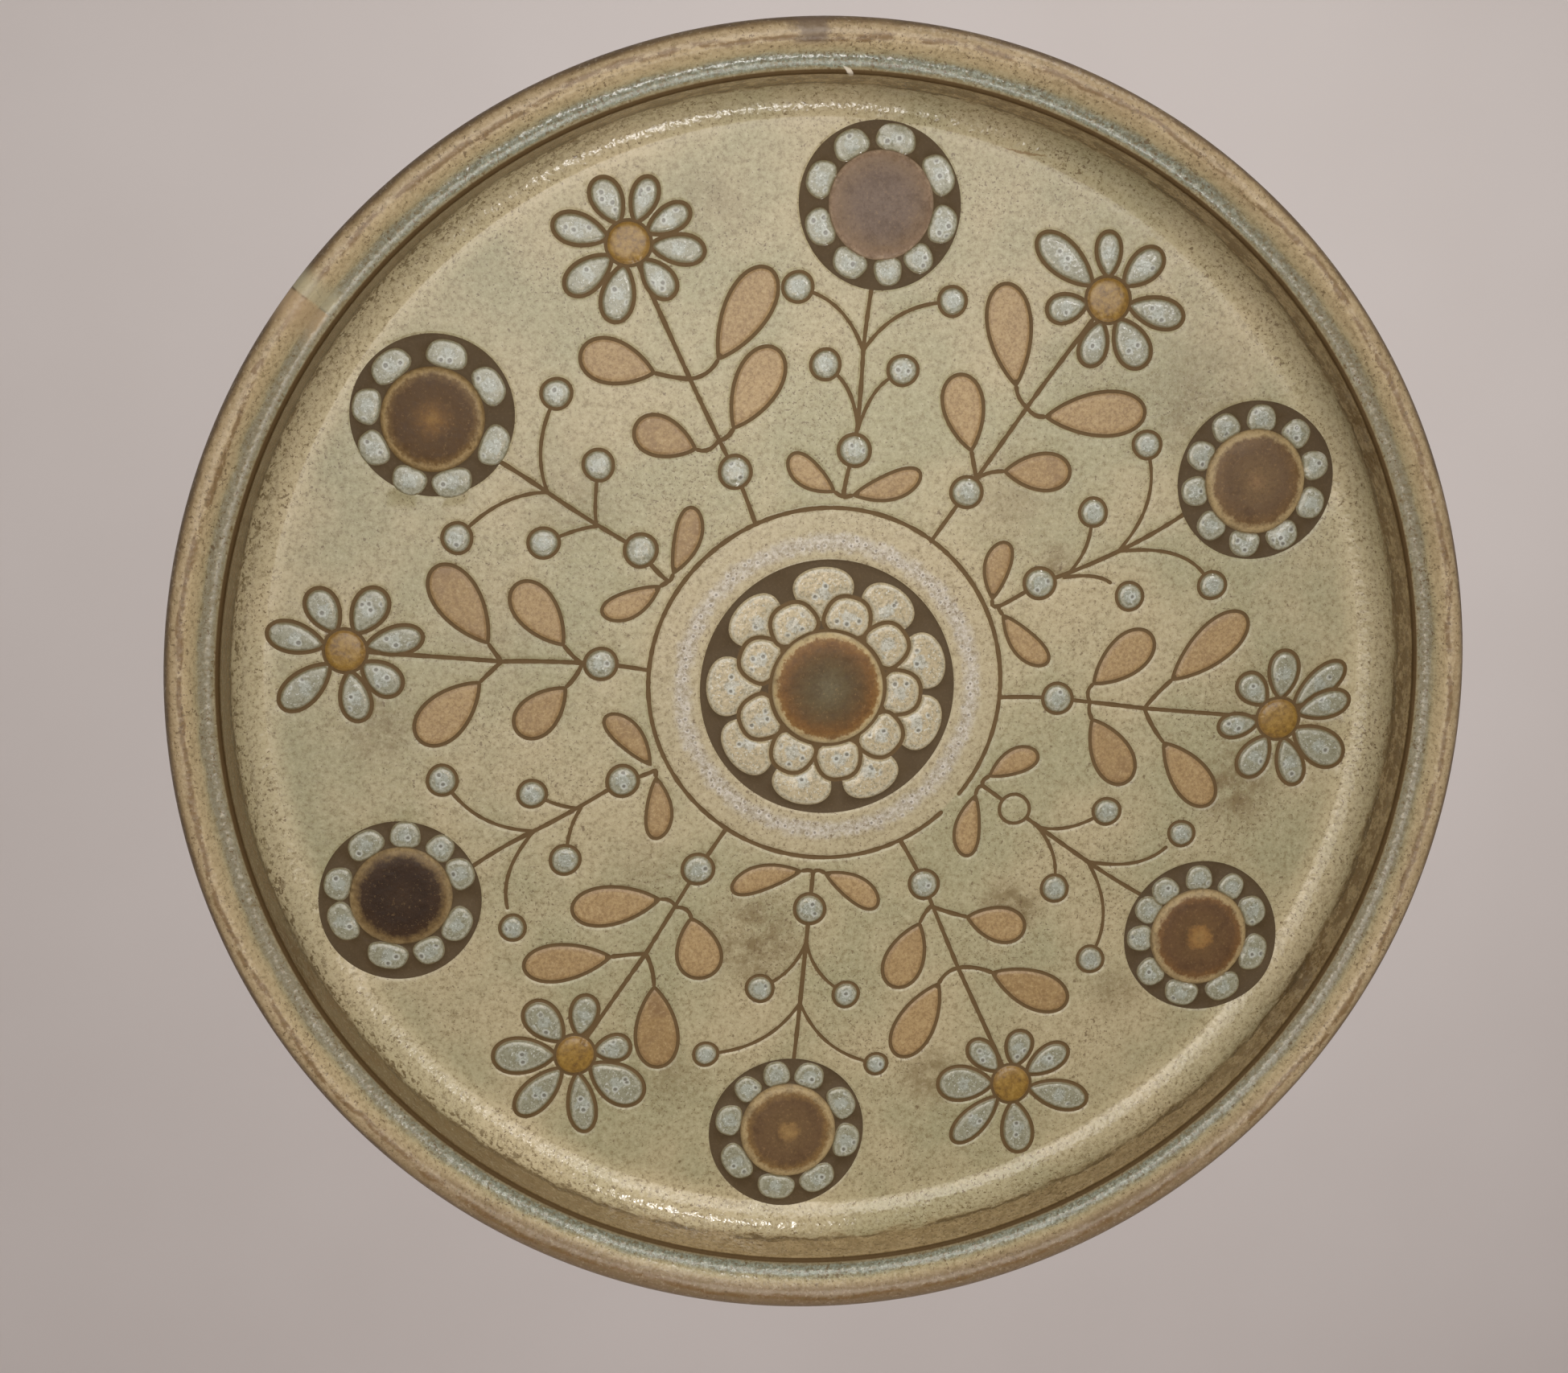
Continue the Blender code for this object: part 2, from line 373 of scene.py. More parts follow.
def stroke(path: Sequence[Point], width: float, rng: random.Random) -> Outline:
    """Gives a path the width of a brushed line with round ends.

    Args:
        path: Points of the middle line.
        width: Width of the line.
        rng: Source of small changes in width.

    Returns:
        Closed outline of the line.
    """
    corners = np.array(path)
    along = np.gradient(corners, axis=0)
    along /= np.hypot(along[:, 0], along[:, 1])[:, None]
    side = np.stack([-along[:, 1], along[:, 0]], axis=1)
    halves = np.array([width / 2 * rng.uniform(*BRUSH_PRESSURE) for _ in path])[:, None]
    left, right = corners + side * halves, corners - side * halves
    outline = [tuple(p) for p in left.tolist()]
    outline += rounded_end(corners[-1], along[-1], float(halves[-1, 0]))
    outline += [tuple(p) for p in right[::-1].tolist()]
    outline += rounded_end(corners[0], -along[0], float(halves[0, 0]))
    return outline


def rounded_end(middle: np.ndarray, along: np.ndarray, half: float) -> list[Point]:
    """Draws the round end of a brushed line, from its left side to its right.

    Args:
        middle: Middle of the end.
        along: Direction of the line.
        half: Half its width.

    Returns:
        The points of the end.
    """
    heading = math.atan2(along[1], along[0])
    turns = (math.pi / 4, 0.0, -math.pi / 4)
    return [
        (middle[0] + half * math.cos(heading + turn), middle[1] + half * math.sin(heading + turn))
        for turn in turns
    ]


@dataclass(frozen=True)
class Spot:
    """A round mark of the ornament: a berry, a bead on a stem or a disc."""

    across: float
    outward: float
    radius: float
    gap: float = 0.0

    @property
    def centre(self) -> Point:
        """Middle of the mark."""
        return (self.across, self.outward)


@dataclass(frozen=True)
class Leaf:
    """A leaf from its pointed base to its round tip."""

    base: Point
    tip: Point
    width: float = 9.4

    def root(self, distance: float) -> Point:
        """Finds the point that the stalk leans towards, so that it runs smoothly into the leaf.

        Args:
            distance: How far below the base it lies.

        Returns:
            The point, on the leaf's own middle line.
        """
        share = distance / math.dist(self.base, self.tip)
        return (
            self.base[0] - share * (self.tip[0] - self.base[0]),
            self.base[1] - share * (self.tip[1] - self.base[1]),
        )


@dataclass(frozen=True)
class MedallionSpray:
    """A medallion flower on its stem, with two pairs of berries and a pair of small leaves."""

    clock_angle: float
    field: Spot
    disc: Spot
    coat: Coat
    beads: tuple[float, ...]
    stem_bead: Spot
    leaves: tuple[Leaf, Leaf]
    lower_berries: tuple[Spot, Spot]
    upper_berries: tuple[Spot, Spot]
    forks: tuple[Point, Point]
    bead_filled: bool = True


@dataclass(frozen=True)
class DaisySpray:
    """A daisy on its stem, with two pairs of leaves."""

    clock_angle: float
    button: Spot
    petals: tuple[tuple[float, float, float], ...]
    stem_bead: Spot
    lower_leaves: tuple[Leaf, Leaf]
    upper_leaves: tuple[Leaf, Leaf]
    joins: tuple[Point, Point]


# Each spray was set out by eye, so no two are alike.
MEDALLION_SPRAYS = (
    MedallionSpray(
        5.5,
        Spot(1.5, 150.0, 25.2),
        Spot(1.8, 150.2, 16.3),
        Coat.LILAC_DISC,
        (-33.6, 7.4, 57.3, 101.4, 138.0, 168.0, -156.3, -115.5, -73.4),
        Spot(1.2, 75.3, 5.6),
        (Leaf((-3.3, 61.7), (-19.2, 72.0)), Leaf((1.7, 61.2), (23.3, 70.3))),
        (Spot(-10.5, 100.7, 5.2), Spot(13.8, 101.2, 5.2)),
        (Spot(-21.3, 123.2, 5.2), Spot(27.0, 123.7, 5.0)),
        ((0.8, 106.0), (1.7, 82.0)),
    ),
    MedallionSpray(
        65.5,
        Spot(-1.7, 152.4, 25.4),
        Spot(-1.5, 152.3, 16.5),
        Coat.BROWN_DISC,
        (45.4, 85.2, 122.5, 159.2, -164.5, -131.0, -97.0, -61.9, -25.0, 9.9),
        Spot(-1.2, 75.7, 5.6),
        (Leaf((-2.5, 59.5), (-18.3, 71.2)), Leaf((2.5, 60.7), (24.2, 67.8))),
        (Spot(-14.7, 100.3, 5.0), Spot(15.2, 100.7, 5.0, 3.5)),
        (Spot(-27.0, 124.5, 5.0), Spot(23.5, 126.8, 5.0)),
        ((0.3, 102.8), (0.5, 83.7)),
    ),
    MedallionSpray(
        125.5,
        Spot(-2.8, 152.7, 25.8),
        Spot(-2.3, 152.2, 16.4),
        Coat.RICH_DISC,
        (-60.4, -17.7, 27.3, 69.6, 107.9, 144.3, 173.8, -162.1, -127.0, -93.5),
        Spot(-2.2, 74.3, 5.5),
        (Leaf((-5.8, 60.7), (-21.7, 70.0)), Leaf((0.8, 60.7), (20.0, 70.7))),
        (Spot(-18.8, 100.3, 5.0), Spot(11.8, 101.5, 5.0)),
        (Spot(-27.0, 125.8, 4.8, 2.6), Spot(24.5, 126.2, 5.0)),
        ((-1.7, 105.3), (-1.7, 84.5)),
        bead_filled=False,
    ),
    MedallionSpray(
        185.5,
        Spot(-1.5, 150.2, 25.7),
        Spot(-1.9, 149.5, 16.0),
        Coat.UMBER_DISC,
        (-35.3, 6.0, 53.5, 97.0, 132.8, 163.6, -164.3, -122.2, -82.7),
        Spot(-1.7, 73.3, 5.6),
        (Leaf((-5.0, 60.7), (-24.2, 71.2)), Leaf((1.7, 60.7), (24.7, 68.7))),
        (Spot(-16.5, 101.5, 4.8), Spot(12.0, 101.2, 5.0)),
        (Spot(-29.0, 124.8, 4.2), Spot(27.7, 124.7, 4.5)),
        ((-1.7, 105.3), (-1.7, 84.5)),
    ),
    MedallionSpray(
        245.5,
        Spot(-4.0, 151.5, 25.7),
        Spot(-2.8, 150.5, 16.0),
        Coat.BLACK_DISC,
        (1.5, 37.9, 82.9, 120.3, 154.4, -175.7, -126.0, -90.0, -51.3),
        Spot(0.5, 71.5, 5.6),
        (Leaf((-2.5, 61.2), (-21.7, 70.3)), Leaf((0.8, 61.2), (22.2, 67.3))),
        (Spot(-14.8, 99.0, 5.3), Spot(9.2, 99.0, 5.0)),
        (Spot(-27.7, 123.7, 4.7, 2.6), Spot(25.3, 122.3, 5.3)),
        ((-2.0, 103.7), (-1.7, 87.0)),
    ),
    MedallionSpray(
        305.5,
        Spot(-0.3, 148.4, 24.7),
        Spot(-1.3, 147.8, 15.8),
        Coat.OLIVE_DISC,
        (-24.1, 17.4, 68.8, 114.3, 168.2, -141.0, -102.9, -61.4),
        Spot(2.0, 73.3, 5.7),
        (Leaf((-3.3, 61.7), (-21.7, 72.0)), Leaf((1.3, 60.7), (22.8, 67.8))),
        (Spot(-13.3, 99.2, 5.3), Spot(16.2, 99.0, 5.3)),
        (Spot(-27.2, 121.7, 5.2), Spot(26.7, 121.7, 5.2)),
        ((0.3, 107.0), (0.3, 88.7)),
    ),
)

DAISY_SPRAYS = (
    DaisySpray(
        35.5,
        Spot(1.3, 149.8, 7.7),
        (
            (-36.3, 20.6, 8.0), (12.3, 22.0, 9.5), (68.0, 24.8, 9.5), (114.8, 23.5, 11.0),
            (161.2, 21.0, 9.0), (-136.5, 19.5, 9.0), (-84.6, 29.3, 10.5),
        ),
        Spot(0.2, 75.8, 5.5),
        (Leaf((-5.8, 86.7), (-24.2, 104.0), 13.0), Leaf((5.8, 87.8), (24.2, 100.3), 12.0)),
        (Leaf((-6.3, 111.2), (-28.7, 135.0), 14.0), Leaf((6.3, 109.0), (32.5, 129.5), 14.0)),
        ((0.3, 81.0), (0.2, 108.2)),
    ),
    DaisySpray(
        95.5,
        Spot(-1.3, 149.8, 7.6),
        (
            (-45.4, 27.7, 9.0), (-21.0, 24.5, 9.0), (27.5, 26.0, 12.0), (67.2, 23.0, 9.0),
            (115.2, 21.7, 10.0), (166.5, 20.0, 8.0), (-137.4, 19.0, 9.5), (-91.0, 22.5, 10.0),
        ),
        Spot(-2.2, 75.3, 5.5),
        (Leaf((-7.5, 86.2), (-25.8, 104.0), 13.0), Leaf((3.3, 87.3), (24.2, 102.0), 13.0)),
        (Leaf((-10.8, 112.0), (-34.7, 134.5), 13.0), Leaf((9.2, 112.0), (29.2, 131.2), 12.5)),
        ((-1.7, 86.2), (-1.2, 104.5)),
    ),
    DaisySpray(
        155.5,
        Spot(-0.7, 149.5, 7.2),
        (
            (-50.3, 26.8, 10.0), (16.0, 24.5, 10.5), (69.0, 27.2, 9.0), (116.9, 24.6, 12.0),
            (162.0, 20.3, 8.5), (-144.7, 18.5, 9.0), (-98.5, 22.2, 9.0),
        ),
        Spot(-2.0, 73.3, 5.4),
        (Leaf((-10.0, 89.5), (-26.3, 102.8), 12.0), Leaf((4.2, 84.5), (21.7, 101.2), 13.0)),
        (Leaf((-10.0, 110.7), (-29.2, 132.3), 13.0), Leaf((6.7, 106.2), (30.0, 123.7), 13.0)),
        ((-1.2, 81.2), (-0.8, 104.5)),
    ),
    DaisySpray(
        215.5,
        Spot(-2.8, 145.3, 7.2),
        (
            (-41.6, 26.6, 9.0), (8.5, 27.0, 10.0), (55.4, 26.2, 12.0), (104.8, 22.7, 11.0),
            (157.7, 20.3, 9.0), (-133.3, 18.0, 9.0), (-88.4, 26.4, 13.0),
        ),
        Spot(-0.3, 72.0, 5.6),
        (Leaf((-7.5, 86.2), (-23.3, 101.2), 14.5), Leaf((3.7, 86.7), (25.8, 106.2), 13.0)),
        (Leaf((-10.8, 111.7), (-28.3, 134.5), 14.0), Leaf((5.8, 111.2), (28.0, 130.3), 12.5)),
        ((-1.7, 86.2), (-2.5, 104.5)),
    ),
    DaisySpray(
        275.5,
        Spot(-0.5, 150.7, 7.3),
        (
            (-46.7, 26.3, 10.0), (10.4, 24.0, 9.5), (59.5, 21.0, 10.0), (116.1, 22.0, 10.5),
            (163.8, 24.0, 9.0), (-146.9, 20.5, 10.0), (-105.0, 22.3, 9.5),
        ),
        Spot(1.7, 72.0, 5.6),
        (Leaf((-6.3, 82.0), (-23.0, 96.2), 12.5), Leaf((6.3, 83.7), (25.0, 100.3), 13.0)),
        (Leaf((-6.7, 108.7), (-27.5, 126.7), 14.0), Leaf((5.0, 107.0), (28.3, 125.3), 14.0)),
        ((1.3, 77.8), (0.0, 102.8)),
    ),
    DaisySpray(
        335.5,
        Spot(1.5, 150.3, 7.4),
        (
            (-51.0, 23.2, 9.5), (-1.3, 20.8, 9.5), (44.5, 20.5, 8.0), (84.7, 21.0, 8.0),
            (120.7, 23.0, 9.0), (164.4, 20.3, 9.0), (-143.2, 23.8, 10.0), (-102.7, 23.5, 9.5),
        ),
        Spot(2.0, 74.2, 5.6),
        (Leaf((-5.8, 85.3), (-20.8, 100.0), 12.5), Leaf((6.7, 86.2), (29.7, 103.7), 14.0)),
        (Leaf((-7.5, 111.7), (-26.3, 127.0), 13.5), Leaf((11.3, 107.3), (38.0, 126.2), 14.0)),
        ((1.3, 85.0), (1.3, 105.8)),
    ),
)


@dataclass(frozen=True)
class LineWidths:
    """Widths of the brushed lines, in millimetres."""

    stem: float = 1.4
    twig: float = 1.15
    berry: float = 1.05
    small_leaf: float = 1.1
    medallion_bead: float = 1.15
    leaf: float = 1.2
    daisy_bead: float = 1.1
    petal: float = 1.25
    button: float = 1.0
    inner_petal: float = 1.3


@dataclass(frozen=True)
class Wobbles:
    """Largest share by which the radius of each kind of hand-drawn circle strays."""

    berry: float = 0.02
    bead: float = 0.015
    medallion_field: float = 0.008
    medallion_disc: float = 0.01
    rosette_field: float = 0.004
    rosette_disc: float = 0.006


@dataclass(frozen=True)
class RingLine:
    """The brushed ring round the rosette, which was left open at the lower right."""

    middle: Point = (0.0, 0.5)
    radius: float = 56.5
    wander: float = 0.25
    start: float = 138.5
    sweep: float = 351.5
    steps: int = 216

    def path(self) -> list[Point]:
        """Points of its middle line in order.

        Returns:
            The points.
        """
        points = []
        for index in range(self.steps + 1):
            turn = math.radians(self.start + self.sweep * index / self.steps)
            reach = self.radius + self.wander * math.sin(3 * turn)
            across = self.middle[0] + reach * math.sin(turn)
            points.append((across, self.middle[1] + reach * math.cos(turn)))
        return points


@dataclass(frozen=True)
class Rosette:
    """The rosette in the middle: two rings of petals round a disc on a bare field."""

    middle: Point = (0.3, -0.3)
    field_radius: float = 40.9
    outer_petals: tuple[float, ...] = (-2.6, 36.7, 75.0, 111.5, 154.2, 194.9, 234.2, 271.9, 313.7)
    outer_base: float = 21.0
    outer_tip: float = 38.8
    outer_width: float = 19.4
    outer_fullness: float = 0.36
    inner_petals: tuple[float, ...] = (16.0, 54.3, 94.8, 132.4, 171.3, 208.7, 246.8, 293.9, 331.9)
    inner_reach: float = 23.7
    inner_half_out: float = 7.1
    inner_half_across: float = 7.9
    disc_line_radius: float = 19.0
    disc_radius: float = 17.9


LINES = LineWidths()
WOBBLES = Wobbles()
RING_LINE = RingLine()
ROSETTE = Rosette()


@dataclass
class Drawing:
    """The whole ornament as a list of patches, each painted over the ones before it."""

    rng: random.Random = field(default_factory=lambda: random.Random(11))
    patches: list[Patch] = field(default_factory=list)
    medallion_foot: float = 61.0
    medallion_bends: tuple[float, float, float] = (66.0, 90.0, 115.0)
    daisy_foot: float = 56.8
    daisy_bends: tuple[float, float, float] = (66.0, 92.0, 122.0)
    leaf_fullness: float = 0.34
    small_leaf_width: float = 9.4
    bead_ring_radius: float = 20.1
    bead_half_out: float = 4.3
    bead_half_across: tuple[float, float] = (4.3, 6.3)
    bead_gap: float = 3.2
    petal_fullness: float = 0.26

    def paint(self, outline: Outline, coat: Coat, tone: float | None = None) -> None:
        """Adds a patch with a tone of its own.

        Args:
            outline: Closed outline on the plate.
            coat: What covers it.
            tone: Its tone; without one it gets a tone from 0 to 1 by chance.
        """
        chance = self.rng.random()
        self.patches.append(Patch(outline, coat, chance if tone is None else tone))

    def brush(self, upright: Upright, path: Sequence[Point], width: float = LINES.stem) -> None:
        """Brushes an open line.

        Args:
            upright: Coordinates that the path is given in.
            path: Points of the middle line.
            width: Width of the line.
        """
        self.paint(upright.turned(stroke(path, width, self.rng)), Coat.BARE)

    def draw_stem(self, upright: Upright, stops: Sequence[Point], bends: Sequence[Point]) -> None:
        """Brushes a stem in bowed strokes.

        Args:
            upright: Coordinates of the spray.
            stops: Where the strokes begin and end.
            bends: The point that each stroke leans towards.
        """
        for start, bend, end in zip(stops, bends, stops[1:]):
            self.brush(upright, curve_points(start, bend, end))

    def filled(self, upright: Upright, outline: Outline, coat: Coat, width: float) -> None:
        """Draws a closed line and fills it.

        Args:
            upright: Coordinates that the outline is given in.
            outline: Outer edge of the line.
            coat: What fills it.
            width: Width of the line.
        """
        self.paint(upright.turned(outline), Coat.BARE)
        self.paint(upright.turned(inset(outline, width)), coat)

    def rounded(
        self, upright: Upright, spot: Spot, coat: Coat, width: float, wobble: float
    ) -> None:
        """Draws a filled round mark.

        Args:
            upright: Coordinates that the mark is given in.
            spot: The mark.
            coat: What fills it.
            width: Width of its line.
            wobble: Largest share by which its radius strays.
        """
        outline = ring_points(spot.centre, spot.radius, self.rng, wobble)
        self.filled(upright, outline, coat, width)

    def draw_all(self) -> None:
        """Draws the ornament in painting order."""
        self.draw_edge()
        self.brush(Upright(0.0), RING_LINE.path())
        for spray in MEDALLION_SPRAYS:
            self.draw_medallion_stem(spray)
            self.draw_medallion(spray)
        for spray in DAISY_SPRAYS:
            self.draw_daisy_stem(spray)
            self.draw_daisy(spray)
        self.draw_rosette(ROSETTE)

    def draw_edge(self) -> None:
        """Lays the ground out to the cove, with one point for each step of the turned body."""
        rim = []
        for index in range(TURN_STEPS):
            turn = math.tau * index / TURN_STEPS
            rim.append((FLOOR_EDGE * math.cos(turn), FLOOR_EDGE * math.sin(turn)))
        self.paint(rim, Coat.GROUND)

    def draw_medallion_stem(self, spray: MedallionSpray) -> None:
        """Brushes the stem and twigs of a medallion spray, with its berries and small leaves.

        Args:
            spray: The spray to draw.
        """
        upright = Upright(spray.clock_angle)
        bead = spray.stem_bead
        left, right = spray.leaves
        foot = (0.5 * (left.base[0] + right.base[0]), self.medallion_foot)
        top = (spray.field.across, spray.field.outward - spray.field.radius + 1.0)
        upper, lower = spray.forks
        bends = tuple(zip((foot[0], lower[0], upper[0]), self.medallion_bends))
        self.draw_stem(upright, (foot, bead.centre, upper, top), bends)
        for berry in spray.upper_berries:
            self.draw_twig(upright, upper, berry, 0.28, 4.0)
        for berry in spray.lower_berries:
            self.draw_twig(upright, lower, berry, 0.2, 7.0)
        for berry in (*spray.lower_berries, *spray.upper_berries):
            self.rounded(upright, berry, Coat.PALE, LINES.berry, WOBBLES.berry)
        for leaf in spray.leaves:
            self.brush(upright, curve_points(foot, leaf.root(2.5), leaf.base))
            bow = math.copysign(0.05, leaf.tip[0])
            shape = drop_points(
                leaf.base, leaf.tip, self.small_leaf_width, self.leaf_fullness, bow
            )
            self.filled(upright, shape, Coat.LEAF, LINES.small_leaf)
        coat = Coat.PALE if spray.bead_filled else Coat.GROUND
        self.rounded(upright, bead, coat, LINES.medallion_bead, WOBBLES.bead)

    def draw_twig(
        self, upright: Upright, fork: Point, berry: Spot, lean: float, drop: float
    ) -> None:
        """Brushes a bowed twig from a fork of the stem to a berry.

        Args:
            upright: Coordinates of the spray.
            fork: Where the twig leaves the stem.
            berry: The berry at its end, with the gap that was left before it.
            lean: How far the bow leans towards the berry, as a share of the way across.
            drop: How far below the berry's middle the bow is aimed.
        """
        bend = (fork[0] + lean * (berry.across - fork[0]), berry.outward - drop)
        aim = Vector(berry.centre) - Vector(bend)
        aim.normalize()
        end = Vector(berry.centre) - aim * (berry.radius + berry.gap - 0.6)
        self.brush(upright, curve_points(fork, bend, end[:]), LINES.twig)

    def draw_medallion(self, spray: MedallionSpray) -> None:
        """Paints a medallion flower: a bare field, a ring of beads and a disc.

        Args:
            spray: The spray to draw.
        """
        upright = Upright(spray.clock_angle)
        flower, disc, reach = spray.field, spray.disc, self.bead_ring_radius
        outline = ring_points(flower.centre, flower.radius, self.rng, WOBBLES.medallion_field)
        self.paint(upright.turned(outline), Coat.BARE, FIELD_TONE)
        least, most = self.bead_half_across
        for index, angle in enumerate(spray.beads):
            turn = math.radians(angle)
            room = (spray.beads[(index + 1) % len(spray.beads)] - spray.beads[index - 1]) % 360.0
            half_across = 0.25 * math.radians(room) * reach - self.bead_gap / 2
            half_across = min(most, max(least, half_across)) + self.rng.uniform(-0.2, 0.3)
            middle = (disc.across + reach * math.sin(turn), disc.outward + reach * math.cos(turn))
            bead = block_points(middle, angle, self.bead_half_out, half_across)
            self.paint(upright.turned(bead), Coat.PALE)
        outline = ring_points(disc.centre, disc.radius, self.rng, WOBBLES.medallion_disc)
        self.paint(upright.turned(outline), spray.coat)

    def draw_daisy_stem(self, spray: DaisySpray) -> None:
        """Brushes the stem of a daisy spray, with its bead and leaves.

        Args:
            spray: The spray to draw.
        """
        upright = Upright(spray.clock_angle)
        bead, (lower, middle) = spray.stem_bead, spray.joins
        foot = (0.5 * bead.across, self.daisy_foot)
        bends = tuple(zip((bead.across, lower[0], middle[0]), self.daisy_bends))
        self.draw_stem(upright, (foot, bead.centre, middle, spray.button.centre), bends)
        for pair, join in zip((spray.lower_leaves, spray.upper_leaves), spray.joins):
            for leaf in pair:
                reach = 0.55 * math.dist(join, leaf.base)
                self.brush(upright, curve_points(join, leaf.root(reach), leaf.base))
                shape = drop_points(leaf.base, leaf.tip, 1.08 * leaf.width, self.leaf_fullness)
                self.filled(upright, shape, Coat.LEAF, LINES.leaf)
        self.rounded(upright, bead, Coat.PALE, LINES.daisy_bead, WOBBLES.bead)

    def draw_daisy(self, spray: DaisySpray) -> None:
        """Paints a daisy: outlined petals round a button.

        Args:
            spray: The spray to draw.
        """
        upright = Upright(spray.clock_angle)
        button = spray.button
        for angle, reach, width in spray.petals:
            out = clock_direction(angle)
            base = Vector(button.centre) + out * (button.radius - 1.8)
            tip = Vector(button.centre) + out * (reach + 0.9)
            shape = drop_points(base[:], tip[:], width + 1.3, self.petal_fullness)
            self.filled(upright, shape, Coat.PALE, LINES.petal)
        self.rounded(upright, button, Coat.BUTTON, LINES.button, WOBBLES.bead)

    def draw_rosette(self, rosette: Rosette) -> None:
        """Paints the rosette.

        Args:
            rosette: Its sizes.
        """
        upright, middle = Upright(0.0), rosette.middle
        outline = ring_points(middle, rosette.field_radius, self.rng, WOBBLES.rosette_field)
        self.paint(outline, Coat.BARE, FIELD_TONE)
        for angle in rosette.outer_petals:
            out = clock_direction(angle)
            base = Vector(middle) + out * rosette.outer_base
            tip = Vector(middle) + out * rosette.outer_tip
            width = rosette.outer_width + self.rng.uniform(-1.0, 0.8)
            shape = drop_points(base[:], tip[:], width, rosette.outer_fullness)
            self.paint(upright.turned(shape), Coat.CREAM)
        for angle in rosette.inner_petals:
            turn, reach = math.radians(angle), rosette.inner_reach
            centre = (middle[0] + reach * math.sin(turn), middle[1] + reach * math.cos(turn))
            half_across = rosette.inner_half_across + self.rng.uniform(-0.3, 0.3)
            shape = block_points(centre, angle, rosette.inner_half_out, half_across)
            self.filled(upright, shape, Coat.CREAM, LINES.inner_petal)
        disc = ((rosette.disc_line_radius, Coat.BARE), (rosette.disc_radius, Coat.ROSETTE_DISC))
        for radius, coat in disc:
            self.paint(ring_points(middle, radius, self.rng, WOBBLES.rosette_disc), coat)


